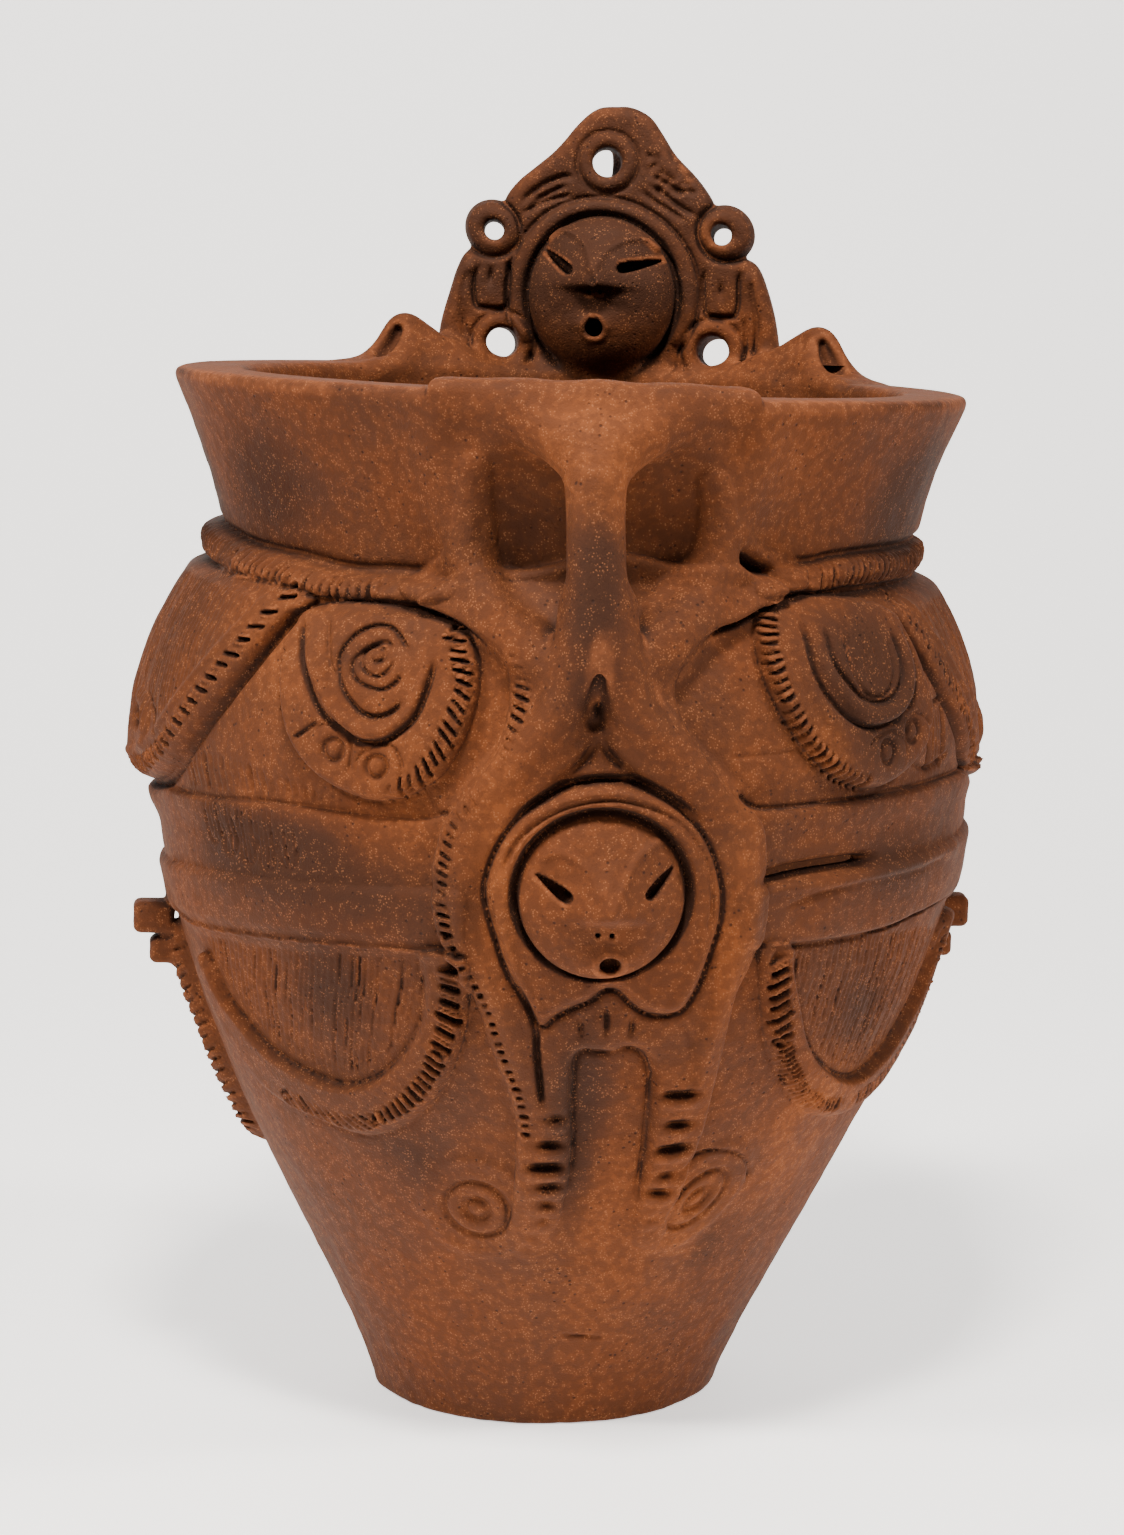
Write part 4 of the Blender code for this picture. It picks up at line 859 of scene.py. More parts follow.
def build_plate():
    """The relief on the plaque's inner face, and the shape of its edge."""
    step = 0.0004
    across = np.arange(-0.095, 0.095, step)
    up = np.arange(-0.020, 0.140, step)
    plate = Sheet(across, up, np.ones(len(up)), up - up[0])
    window, gap = plate.inside(millimetres(PLATE_OUTLINE), 0.03)
    outline = np.full(plate.relief.shape, 0.03, np.float32)
    outline[window] = gap
    for place, radius, _, _, _ in EARS:
        x = across[None, :] - place[0] / 1000
        y = up[:, None] - place[1] / 1000
        outline = blend_min(outline, np.hypot(x, y) - radius / 1000, 0.003)
    plate.outline = outline.astype(np.float32)

    def cut(points, half_width, depth, taper=0.006, closed=False):
        groove(plate, millimetres(points), half_width / 1000, depth / 1000, closed, 0.0 if closed else taper)

    for place, radius, hole, size, _ in EARS:
        circle = [(place[0] + (radius - 5.5) * math.cos(a), place[1] + (radius - 5.5) * math.sin(a))
                  for a in np.linspace(0, 2 * math.pi, 13)[:-1]]
        roll(plate, millimetres(circle), 0.0052, 0.0012, closed=True)
        circle = [(place[0] + (radius + 1.2) * math.cos(a), place[1] + (radius + 1.2) * math.sin(a))
                  for a in np.linspace(0, 2 * math.pi, 13)[:-1]]
        cut(circle, 1.5, 1.8, closed=True)
    for (u, v), size, _ in HOLES:
        circle = [(u + (size + 3.4) * math.cos(a), v + (size + 3.4) * math.sin(a))
                  for a in np.linspace(0, 2 * math.pi, 13)[:-1]]
        roll(plate, millimetres(circle), 0.0050, 0.0022, closed=True)
        circle = [(u + (size + 7.6) * math.cos(a), v + (size + 7.6) * math.sin(a))
                  for a in np.linspace(0, 2 * math.pi, 13)[:-1]]
        cut(circle, 1.3, 1.6, closed=True)
    circle = [(-3.1 + 41.4 * math.cos(a), 35.3 + 42 * math.sin(a)) for a in np.linspace(-0.45, 3.6, 15)]
    roll(plate, millimetres(circle), 0.0056, 0.0026)
    circle = [(-3.1 + 46.6 * math.cos(a), 35.3 + 46.6 * math.sin(a)) for a in np.linspace(-0.7, 3.75, 17)]
    cut(circle, 1.4, 1.9, taper=0.01)
    circle = [(-3.1 + 36.6 * math.cos(a), 35.3 + 38.6 * math.sin(a)) for a in np.linspace(0, 2 * math.pi, 19)[:-1]]
    cut(circle, 1.4, 2.2, closed=True)
    cut([(-38, 8), (-35.5, 0), (-33, -4), (-20, -5.8), (0, -6.2), (20, -5.4), (31, -1), (34.5, 6)], 1.4, 1.5)
    cut([(-41, 76.5), (-39.4, 81), (-32, 87), (-24, 90.8), (-19, 91.4), (-17.2, 88.6)], 1.5, 2.0)
    cut([(-37.6, 78), (-30, 82.5), (-22.4, 86.2), (-18.6, 86)], 1.3, 1.8)
    cut([(-42.5, 72.2), (-35, 77), (-26, 80.6), (-16, 83)], 1.4, 1.8)
    cut([(20.4, 88.6), (27, 84), (35, 78.4), (43, 74)], 1.4, 1.8)
    cut([(15.4, 86.4), (22, 81), (30, 76.5), (38, 71)], 1.3, 1.4)
    cut([(22.4, 92.4), (29, 88.6), (37, 84)], 1.4, 1.6)
    cut([(-63, 48), (-65.8, 43), (-66, 35), (-64.5, 28.5), (-60, 27.2), (-51, 27.4), (-48.8, 31), (-48.6, 42),
         (-50, 52)], 1.5, 2.1)
    cut([(-57.4, 49), (-57.8, 43), (-58, 37)], 1.6, 2.0)
    cut([(-68.5, 46), (-71, 38), (-71.8, 28), (-70, 18), (-67, 10)], 1.6, 1.2)
    cut([(46, 50), (45.5, 40), (46.4, 31), (48.6, 27), (58, 26.4), (61.5, 28), (62.6, 34), (62.4, 44),
         (63.6, 50)], 1.5, 2.1)
    cut([(53.6, 44), (54, 38), (54.2, 34)], 1.6, 1.8)
    cut([(68.6, 46), (69.4, 36), (71.8, 26), (72, 14), (69, 4)], 1.5, 1.4)
    cut([(64.6, 28), (66.6, 20), (67.2, 10), (64, 2)], 1.3, 1.2)
    roll(plate, millimetres([(-76.5, 8), (-76.5, 20), (-73, 34), (-69.4, 46)]), 0.005, 0.0016)
    roll(plate, millimetres([(76.5, 6), (76.5, 18), (73.6, 32), (69.6, 44)]), 0.005, 0.0016)
    random = np.random.RandomState(17)
    for _ in range(70):
        u, v = 19 + 22 * random.rand(), 84 + 20 * random.rand()
        if u - 19 + v - 84 < 34:
            spot = millimetres([(u, v), (u + random.uniform(-2, 2), v + random.uniform(-2, 2))])
            groove(plate, spot, 0.0012, 0.0009 * random.rand())
    plate.relief += 0.0003 * noise(plate, (9, 9 * 1900), 18) + 0.00015 * noise(plate, (30, 30 * 1900), 19)
    return plate


plate = build_plate()
plaque_frame = frame_at(PLAQUE_AZIMUTH + 180.0, -PLAQUE_DISTANCE, RIM_HEIGHT)
plaque_mask_frame = (plaque_frame[0] + plaque_frame[1].T @ np.array([-0.0015, 0.0353, PLAQUE_THICKNESS / 2]),
                     plaque_frame[1])


def slit(x, y, outer, inner, width):
    """How far inside a leaf-shaped eye a place is: the leaf is widest near its inner end."""
    step_x, step_y = inner[0] - outer[0], inner[1] - outer[1]
    share = np.clip(((x - outer[0]) * step_x + (y - outer[1]) * step_y) / (step_x ** 2 + step_y ** 2), 0, 1)
    gap = np.hypot(x - outer[0] - share * step_x, y - outer[1] - share * step_y)
    return width / 2 * (0.12 + 0.88 * share ** 0.75 * (1 - 0.25 * share ** 6)) - gap


def face(local, size, eyes, brows, nose, nostrils, mouth):
    """Distance to a domed spirit mask with slit eyes, drawn brows and a beaked nose."""
    x, y, z = local.T
    dome = ellipsoid(np.stack([x, y, np.where(z < 0, z / 0.3, z)], 1), size)
    tip_x, tip_y, reach = nose
    spread = 0.0072 - 0.0030 * ramp(y, tip_y, tip_y + reach)
    ridge = 0.0066 * np.exp(-np.abs((x - tip_x) / spread) ** 1.5) * ramp(y, tip_y - 0.0065, tip_y + 0.0005) \
        * (1 - ramp(y, tip_y + 0.001, tip_y + reach))
    cheek = np.clip(1 - np.hypot((x - tip_x) / 0.026, (y - tip_y) / 0.024), 0, 1)
    under = (1 - ramp(y, tip_y - 0.0050, tip_y - 0.0005)) * ramp(y, tip_y - 0.022, tip_y - 0.010) \
        * np.exp(-((x - tip_x) / 0.015) ** 2)
    lift = ridge + 0.0042 * cheek - 0.0044 * under
    for line in brows:
        path = smooth_path(line, 5)
        gap = np.full(len(x), 1.0)
        for a, b in zip(path[:-1], path[1:]):
            ex, ey = b - a
            share = np.clip(((x - a[0]) * ex + (y - a[1]) * ey) / (ex * ex + ey * ey), 0, 1)
            gap = np.minimum(gap, np.hypot(x - a[0] - share * ex, y - a[1] - share * ey))
        lift = lift + 0.0017 * np.exp(-(gap / 0.0018) ** 2)
    for outer, inner, width in eyes:
        middle = ((outer[0] + inner[0]) / 2, (outer[1] + inner[1]) / 2)
        lift = lift - 0.0020 * np.exp(-((x - middle[0]) / 0.0095) ** 2 - ((y - middle[1] - 0.001) / 0.0065) ** 2)
    u, v, wide, high = mouth
    spread = np.hypot((x - u) / wide, (y - v) / high)
    lift = lift + 0.0009 * np.exp(-((spread - 1.4) / 0.3) ** 2)
    dome = dome - lift * ramp(z, 0.0, 0.003)
    for outer, inner, width in eyes:
        dome = np.maximum(dome, np.minimum(slit(x, y, outer, inner, width), z - 0.003))
    for place in nostrils:
        dome = np.maximum(dome, np.minimum(0.0011 - np.hypot(x - place[0], y - place[1]), z - 0.005))
    return np.maximum(dome, np.minimum((1 - spread) * min(wide, high), z - 0.001))


def belly_face(local):
    return face(local, (MASK_RADIUS * 1.02, MASK_RADIUS * 1.05, MASK_BULGE - 0.0090),
                eyes=[((-0.0268, 0.0078), (-0.0150, -0.0010), 0.0062), ((0.0284, 0.0117), (0.0184, 0.0004), 0.0054)],
                brows=[[(-0.0240, 0.0150), (-0.0200, 0.0168), (-0.0160, 0.0162), (-0.0100, 0.0128), (-0.0054, 0.0072),
                        (-0.0027, 0.0010)],
                       [(0.0220, 0.0215), (0.0144, 0.0162), (0.0099, 0.0092), (0.0063, 0.0018), (0.0035, -0.0050)]],
                nose=(0.0016, -0.0080, 0.024), nostrils=[(-0.0020, -0.0160), (0.0038, -0.0162)],
                mouth=(0.0036, -0.0287, 0.0044, 0.0032))


def plaque_face(local):
    return face(local, (0.0354, 0.0374, MASK_BULGE),
                eyes=[((-0.0278, 0.0212), (-0.0145, 0.0118), 0.0058), ((0.0286, 0.0172), (0.0108, 0.0132), 0.0060)],
                brows=[[(-0.0260, 0.0270), (-0.0215, 0.0305), (-0.0158, 0.0302), (-0.0085, 0.0262), (-0.0047, 0.0190),
                        (-0.0036, 0.0130)],
                       [(0.0270, 0.0235), (0.0217, 0.0272), (0.0165, 0.0278), (0.0100, 0.0260), (0.0029, 0.0210),
                        (0.0000, 0.0150)]],
                nose=(-0.0015, 0.0060, 0.020), nostrils=[(-0.0040, 0.0015), (0.0010, 0.0020)],
                mouth=(-0.0015, -0.0153, 0.0043, 0.0043))


def plaque(points):
    """Distance to the pierced plaque."""
    local = to_frame(points, plaque_frame)
    x, y, z = local.T
    near = np.nonzero((np.abs(x) < 0.092) & (y > -0.018) & (y < 0.138) & (np.abs(z) < 0.045))[0]
    result = np.full(len(points), FAR, np.float32)
    if not len(near):
        return result
    x, y, z = x[near], y[near], z[near]
    x = x - 0.0019 * (1 - ramp(y, 0.050, 0.085))
    edge = plate.sample(x, y, plate.outline)
    relief = plate.sample(x, y)
    thick = 0.5 * PLAQUE_THICKNESS - 0.0022 * ramp(y, 0.085, 0.122)
    slab = np.where(z > 0, z - thick - relief, -z - thick)
    body = blend_max(edge - 0.0014, slab, 0.007)
    depth = z - 0.5 * PLAQUE_THICKNESS
    for (u, v), size, slant in [ear[2:] for ear in EARS] + HOLES:
        off = np.hypot(x - u / 1000 + slant[0] * depth, y - v / 1000 + slant[1] * depth)
        body = blend_max(body, size / 1000 - off, 0.0030)
    spine = tube(np.stack([x, y, z], 1), np.array([(0.005, 0.0, -0.010, 0.0060), (0.005, 0.112, -0.011, 0.0048)]))
    body = blend_min(body, spine, 0.004)
    mask = to_frame(points[near], plaque_mask_frame)
    close = np.nonzero(np.abs(mask).max(1) < 0.05)[0]
    if len(close):
        body[close] = np.minimum(body[close], plaque_face(mask[close]))
    result[near] = body
    return result


LIP_MIDDLE = RIM_RADIUS - LIP_WIDTH / 2


def peak_paths(apex, side, spread):
    """A pinched peak: its ridge over the lip, the body under it, the fold down its inner side
    and the scoop between them. Rows are along, rise, roll and how far out, in millimetres."""
    def path(rows):
        return polar_path([(apex + side * along * spread, LIP_MIDDLE + out / 1000, RIM_HEIGHT + rise / 1000,
                            roll_size / 1000) for along, rise, roll_size, out in rows])

    ridge = path([(-14, -7, 8.5, -3), (-9.5, 0.5, 8.5, -1), (-5.5, 6.5, 7.2, 0), (-3.2, 13.0, 6.0, 0.5),
                  (-1.3, 18.0, 4.8, 1.0), (0.5, 19.0, 4.5, 2.0), (2.0, 16.0, 4.4, 3.0), (3.6, 5.6, 5.2, 4.5),
                  (5.8, -4.0, 6.0, 5.5), (10, -9, 7.0, 2)])
    body = path([(-8, -2, 9, -4), (-4, 2, 9, -3), (0, 3.5, 9, -3.5), (2.4, 0, 8, -2), (5.5, -6, 8, 0)])
    fold = path([(0.3, 17.2, 4.0, 0.0), (0.9, 11, 4.2, -3.5), (2.0, 4, 4.6, -7.5), (4.6, -1.4, 5.0, -10.5),
                 (9.5, -4.6, 5.0, -11.5)])
    scoop = path([(1.9, 15.5, 1.8, -1.5), (3.2, 9.4, 3.4, -2.0), (5.2, 4.0, 3.2, -2.5)])
    return ridge, body, fold, scoop


peaks = [peak_paths(128.3, -1, 1.15), peak_paths(204.0, 1, 1.0)]

LUGS = [frame_at(azimuth, float(body_radius(height)) + proud, height) for azimuth, height, proud in (
    (-89.0, 0.2125, 0.0105), (-89.0, 0.1975, 0.0100), (86.0, 0.2215, 0.0045), (86.0, 0.2065, 0.0040))]


def lump(local, size, rounding):
    """Distance to a box with rounded edges."""
    past = np.abs(local) - (np.asarray(size, np.float32) - rounding)
    outside = np.sqrt((np.maximum(past, 0) ** 2).sum(1))
    return outside + np.minimum(past.max(1), 0) - rounding


def clay(points):
    """Distance of each point from the clay, below zero inside it."""
    x, y, z = points.T
    radius = np.hypot(x, y)
    azimuth = np.degrees(np.arctan2(x, -y)).astype(np.float32)
    outer = look_up(table_outer, z).astype(np.float32)
    slant = 1 / np.hypot(1.0, look_up(table_slope, z)).astype(np.float32)
    relief = np.zeros(len(points), np.float32)
    near = np.nonzero((np.abs(radius - outer) < 0.04) & (z < 0.47))[0]
    relief[near] = wall.sample(azimuth[near], z[near])
    raised = ramp(azimuth, -25.4, -24.6) * (1 - ramp(azimuth, 18.2, 19.0))
    outside = (radius - outer - relief) * slant
    top = z - RIM_HEIGHT + RIM_TILT * x - 0.0035 * raised
    field = blend_max(outside, top, 2 * LIP_ROUND)
    for path in edge_paths:
        add_tube(field, points, path, 0.010)
    for path in leg_paths:
        add_tube(field, points, path, 0.006)
    add_tube(field, points, strut_path, 0.010)
    cut_tube(field, points, leg_groove, 0.004)
    add_tube(field, points, hood_path, 0.006)
    cut_tube(field, points, behind_strut, 0.006)
    inner = look_up(table_inner, z)
    inner_slant = 1 / np.hypot(1.0, look_up(table_inner_slope, z))
    hollow = blend_max((radius - inner) * inner_slant, FLOOR - z, 0.012)
    field = blend_max(field, -hollow, 0.006)
    high = np.nonzero((z > 0.40) & (y > 0.04))[0]
    if len(high):
        part = field[high]
        spots = points[high]
        for ridge, body, fold, scoop in peaks:
            add_tube(part, spots, body, 0.008)
            add_tube(part, spots, ridge, 0.010)
            add_tube(part, spots, fold, 0.006)
            cut_tube(part, spots, scoop, 0.004)
        field[high] = blend_min(part, plaque(spots), 0.008)
    low = np.nonzero((z > 0.18) & (z < 0.24) & (np.abs(x) > 0.12))[0]
    if len(low):
        part = field[low]
        for number, where in enumerate(LUGS):
            local = to_frame(points[low], where)
            size = (0.0080, 0.0072, 0.0092) if number % 2 == 0 else (0.0070, 0.0060, 0.0070)
            dent = 0.0012 * np.exp(-((local[:, 0] ** 2 + local[:, 1] ** 2) / 0.0035 ** 2))
            part = blend_min(part, lump(local, size, 0.0035) + dent, 0.003)
        field[low] = part
    local = to_frame(points, mask_frame)
    near = np.nonzero(np.abs(local).max(1) < 0.055)[0]
    if len(near):
        field[near] = np.minimum(field[near], belly_face(local[near]))
    lean_z = z * math.cos(LEAN) - x * math.sin(LEAN)
    return blend_max(field, -lean_z, 0.002).astype(np.float32)


BLOCK = 8


def surface(low, high, voxel, field):
    """The zero surface of a field within a box, as points, and faces of three and four corners."""
    low = np.asarray(low, float)
    side = BLOCK * voxel
    blocks = np.ceil((np.asarray(high, float) - low) / side).astype(int)
    index = np.stack(np.meshgrid(*(np.arange(n) for n in blocks), indexing='ij'), -1).reshape(-1, 3)
    middle = (low + (index + 0.5) * side).astype(np.float32)
    rough = field(middle)
    values = np.repeat(np.repeat(np.repeat(
        np.where(rough > 0, FAR, -FAR).astype(np.float32).reshape(blocks), BLOCK, 0), BLOCK, 1), BLOCK, 2)
    near = index[np.abs(rough) < side * 1.5 + 0.004]
    corner = np.stack(np.meshgrid(*(np.arange(BLOCK),) * 3, indexing='ij'), -1).reshape(-1, 3)
    for start in range(0, len(near), 2000):
        part = near[start:start + 2000]
        cells = (part[:, None, :] * BLOCK + corner[None]).reshape(-1, 3)
        found = field((low + cells * voxel).astype(np.float32))
        values[cells[:, 0], cells[:, 1], cells[:, 2]] = found
    grid = openvdb.FloatGrid(FAR)
    grid.copyFromArray(values)
    grid.transform = openvdb.createLinearTransform(voxelSize=voxel)
    points, triangles, quads = grid.convertToPolygons(isovalue=0.0, adaptivity=0.0)
    return points + low, triangles, quads


def cut_face(shell, place, outward):
    """Cuts a closed shell by a plane, drops what lies outward of it and closes it again."""
    everything = shell.verts[:] + shell.edges[:] + shell.faces[:]
    bmesh.ops.bisect_plane(shell, geom=everything, dist=1e-5, plane_co=place, plane_no=outward, clear_outer=True)
    edge_points = {point for edge in shell.edges if edge.is_boundary for point in edge.verts}
    bmesh.ops.remove_doubles(shell, verts=list(edge_points), dist=3e-5)
    rim = [edge for edge in shell.edges if edge.is_boundary]
    closed = bmesh.ops.triangle_fill(shell, edges=rim, use_beauty=False, normal=outward)
    for face in closed["geom"]:
        if isinstance(face, bmesh.types.BMFace):
            face.smooth = False
    for edge in rim:
        edge.smooth = False


TRIANGLE_LIMIT = 155000


def new_piece(name, low, high, voxel, planes):
    """Meshes the clay within a box and planes of (place, outward), upright, then leans it."""
    points, triangles, quads = surface(low, high, voxel, clay)
    faces = [tuple(face) for face in triangles] + [tuple(face) for face in quads]
    mesh = bpy.data.meshes.new(name)
    mesh.from_pydata([tuple(p) for p in points], [], faces)
    mesh.shade_smooth()
    count = 2 * len(quads) + len(triangles)
    piece = bpy.data.objects.new(name, mesh)
    bpy.context.scene.collection.objects.link(piece)
    share = sum(all(np.dot(np.asarray(outward), points[k] - np.asarray(place)) < 0 for place, outward in planes)
                for k in range(0, len(points), 97)) / max(len(range(0, len(points), 97)), 1)
    if share * count > TRIANGLE_LIMIT:
        thin = piece.modifiers.new("Fewer faces", 'DECIMATE')
        thin.ratio = TRIANGLE_LIMIT / (share * count)
        fewer = bpy.data.meshes.new_from_object(piece.evaluated_get(bpy.context.evaluated_depsgraph_get()))
        piece.modifiers.clear()
        piece.data = fewer
        bpy.data.meshes.remove(mesh)
        mesh = fewer
    paint(mesh)
    shell = bmesh.new()
    shell.from_mesh(mesh)
    for place, outward in planes:
        cut_face(shell, place, outward)
    bmesh.ops.dissolve_degenerate(shell, dist=1e-7, edges=shell.edges[:])
    bmesh.ops.holes_fill(shell, edges=[edge for edge in shell.edges if edge.is_boundary])
    print(name, "open edges", sum(edge.is_boundary for edge in shell.edges),
          "edges of three faces", sum(len(edge.link_faces) > 2 for edge in shell.edges))
    shell.to_mesh(mesh)
    shell.free()
    mesh.validate()
    mesh.transform(Matrix.Rotation(LEAN, 4, 'Y'))
    print(name, len(mesh.polygons), sum(len(p.vertices) - 2 for p in mesh.polygons))
    return piece


# Where the kiln left the clay darker or brighter: azimuth, height, how far across and up, strength
DARK_CLOUDS = [(38, 338, 34, 34, 1.0), (-88, 400, 30, 40, 0.7), (-30, 250, 60, 26, 0.55), (-58, 262, 26, 24, 0.6),
               (-2, 150, 16, 60, 0.75), (-3, 345, 14, 40, 0.5), (46, 196, 30, 30, 0.45), (-72, 350, 30, 40, 0.35),
               (30, 90, 16, 18, 0.5), (-30, 128, 26, 20, 0.5), (62, 300, 30, 40, 0.4), (120, 300, 60, 60, 0.7),
               (-150, 220, 60, 70, 0.6), (170, 120, 50, 50, 0.5), (-35, 345, 12, 12, 0.4),
               (60, 412, 40, 30, 1.0), (-60, 412, 44, 30, 0.8), (-45, 262, 30, 16, 0.9), (45, 262, 30, 16, 0.6),
               (-40, 205, 24, 24, 0.7), (-3, 388, 9, 28, 0.6)]
BRIGHT_CLOUDS = [(44, 145, 30, 30, 0.9), (30, 318, 14, 16, 0.8), (-48, 345, 24, 30, 0.45), (24, 100, 20, 22, 0.6),
                 (-14, 262, 9, 60, 0.7), (17, 250, 9, 50, 0.7), (-3, 432, 20, 26, 0.9), (0, 90, 70, 60, 0.35),
                 (24, 430, 26, 30, 0.35), (-26, 300, 16, 40, 0.4), (-150, 380, 60, 40, 0.5), (100, 180, 40, 40, 0.6)]


def cloud_sum(clouds, azimuth, height):
    total = np.zeros(len(azimuth), np.float32)
    for a, h, wide, tall, strength in clouds:
        across = ((azimuth - a + 180) % 360 - 180) * 3.1 / 1000
        total += strength * np.exp(-(across / (wide / 1000)) ** 2 - ((height - h / 1000) / (tall / 1000)) ** 2)
    return np.clip(total, 0, 1)


def paint(mesh):
    """Stores where the clay is hollow, worn, smoked or bright, for the shader to use; hollow drives painted shade in
    recesses and grooves.
    """
    count = len(mesh.vertices)
    points = np.empty(count * 3, np.float32)
    mesh.vertices.foreach_get("co", points)
    normals = np.empty(count * 3, np.float32)
    mesh.vertex_normals.foreach_get("vector", normals)
    points, normals = points.reshape(-1, 3), normals.reshape(-1, 3)
    # hollow: how much clay lies within a few millimetres outside each point; the shader turns it into painted shade
    # in recesses and grooves.
    hollow = np.zeros(count, np.float32)
    for reach, weight in ((0.0022, 0.45), (0.006, 0.55)):
        hollow += weight * np.clip(1 - clay(points + normals * reach) / reach, 0, 1)
    worn = np.clip(1 + clay(points - normals * 0.0022) / 0.0022, 0, 1)
    x, y, z = points.T
    azimuth, radius = np.degrees(np.arctan2(x, -y)), np.hypot(x, y)
    dark = cloud_sum(DARK_CLOUDS, azimuth, z)
    inside = ramp(0.004 - (radius - look_up(table_inner, z)), 0.0, 0.004) * (z < RIM_HEIGHT - 0.01)
    smoked = ramp(z, RIM_HEIGHT + 0.01, RIM_HEIGHT + 0.04) * 0.5
    face_spot = np.exp(-(((points - plaque_mask_frame[0]) ** 2).sum(1) / 0.036 ** 2) ** 3)
    dark = np.clip(dark + 0.35 * inside + smoked + 0.35 * face_spot, 0, 1)
    bright = cloud_sum(BRIGHT_CLOUDS, azimuth, z) * (1 - inside)
    for title, values in (("hollow", hollow), ("worn", worn), ("smoked", dark), ("bright", bright)):
        mesh.attributes.new(title, 'FLOAT', 'POINT').data.foreach_set("value", values.astype(np.float32))


def half_plane(azimuth, side):
    """A plane through the axis at an azimuth, whose outward side is towards +azimuth or -azimuth."""
    angle = math.radians(azimuth)
    return (0.0, 0.0, 0.0), (side * math.cos(angle), side * math.sin(angle), 0.0)


SEAM = RIM_HEIGHT + 0.0065
FINE, PLAIN = ((0.0010, 0.0014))
below = ((0.0, 0.0, SEAM), (0.0, 0.0, 1.0))
PIECES = [
    ("jar_front", (-0.10, -0.225, -0.012), (0.10, 0.01, SEAM + 0.004), FINE,
     [half_plane(24, 1), half_plane(-26, -1), below]),
    ("jar_left", (-0.21, -0.195, -0.012), (0.01, 0.08, SEAM + 0.004), FINE,
     [half_plane(-26, 1), half_plane(-112, -1), below]),
    ("jar_right", (-0.01, -0.195, -0.012), (0.215, 0.08, SEAM + 0.004), FINE,
     [half_plane(112, 1), half_plane(24, -1), below]),
    ("jar_back", (-0.20, -0.01, -0.012), (0.20, 0.21, SEAM + 0.004), PLAIN,
     [half_plane(248, 1), half_plane(112, -1), below]),
    ("jar_plaque", (-0.13, 0.05, SEAM - 0.004), (0.16, 0.20, 0.60), FINE,
     [((0.0, 0.0, SEAM), (0.0, 0.0, -1.0))])]


# Finish, floor, light and camera

class Shading:
    """Small helpers that place and join shader nodes."""

    def __init__(self, name):
        self.material = bpy.data.materials.new(name)
        self.material.use_nodes = True
        self.tree = self.material.node_tree
        self.shader = self.tree.nodes["Principled BSDF"]
        self.place = self.tree.nodes.new('ShaderNodeTexCoord').outputs["Object"]

    def feed(self, value, socket):
        if isinstance(value, bpy.types.NodeSocket):
            self.tree.links.new(value, socket)
        else:
            socket.default_value = value

    def noise(self, scale, detail=4.0, rough=0.55, warp=0.0):
        node = self.tree.nodes.new('ShaderNodeTexNoise')
        node.inputs["Scale"].default_value = scale
        node.inputs["Detail"].default_value = detail
        node.inputs["Roughness"].default_value = rough
        node.inputs["Distortion"].default_value = warp
        self.tree.links.new(self.place, node.inputs["Vector"])
        return node.outputs["Fac"]

    def grains(self, scale):
        node = self.tree.nodes.new('ShaderNodeTexVoronoi')
        node.inputs["Scale"].default_value = scale
        self.tree.links.new(self.place, node.inputs["Vector"])
        return node.outputs["Distance"], node.outputs["Color"]

    def attribute(self, title):
        node = self.tree.nodes.new('ShaderNodeAttribute')
        node.attribute_name = title
        return node.outputs["Fac"]

    def math(self, operation, a, b=0.0, clamp=False):
        node = self.tree.nodes.new('ShaderNodeMath')
        node.operation = operation
        node.use_clamp = clamp
        self.feed(a, node.inputs[0])
        self.feed(b, node.inputs[1])
        return node.outputs["Value"]

    def fit(self, value, low, high, to_low=0.0, to_high=1.0):
        node = self.tree.nodes.new('ShaderNodeMapRange')
        node.interpolation_type = 'SMOOTHSTEP'
        self.feed(value, node.inputs["Value"])
        for title, number in (("From Min", low), ("From Max", high), ("To Min", to_low), ("To Max", to_high)):
            node.inputs[title].default_value = number
        return node.outputs["Result"]

    def mix(self, share, a, b, blend='MIX'):
        node = self.tree.nodes.new('ShaderNodeMix')
        node.data_type = 'RGBA'
        node.blend_type = blend
        self.feed(share, node.inputs["Factor"])
        self.feed(a, node.inputs["A"])
        self.feed(b, node.inputs["B"])
        return node.outputs["Result"]

    def bump(self, height, strength, distance, before=None):
        node = self.tree.nodes.new('ShaderNodeBump')
        node.inputs["Strength"].default_value = strength
        node.inputs["Distance"].default_value = distance
        self.feed(height, node.inputs["Height"])
        if before is not None:
            self.tree.links.new(before, node.inputs["Normal"])
        return node.outputs["Normal"]


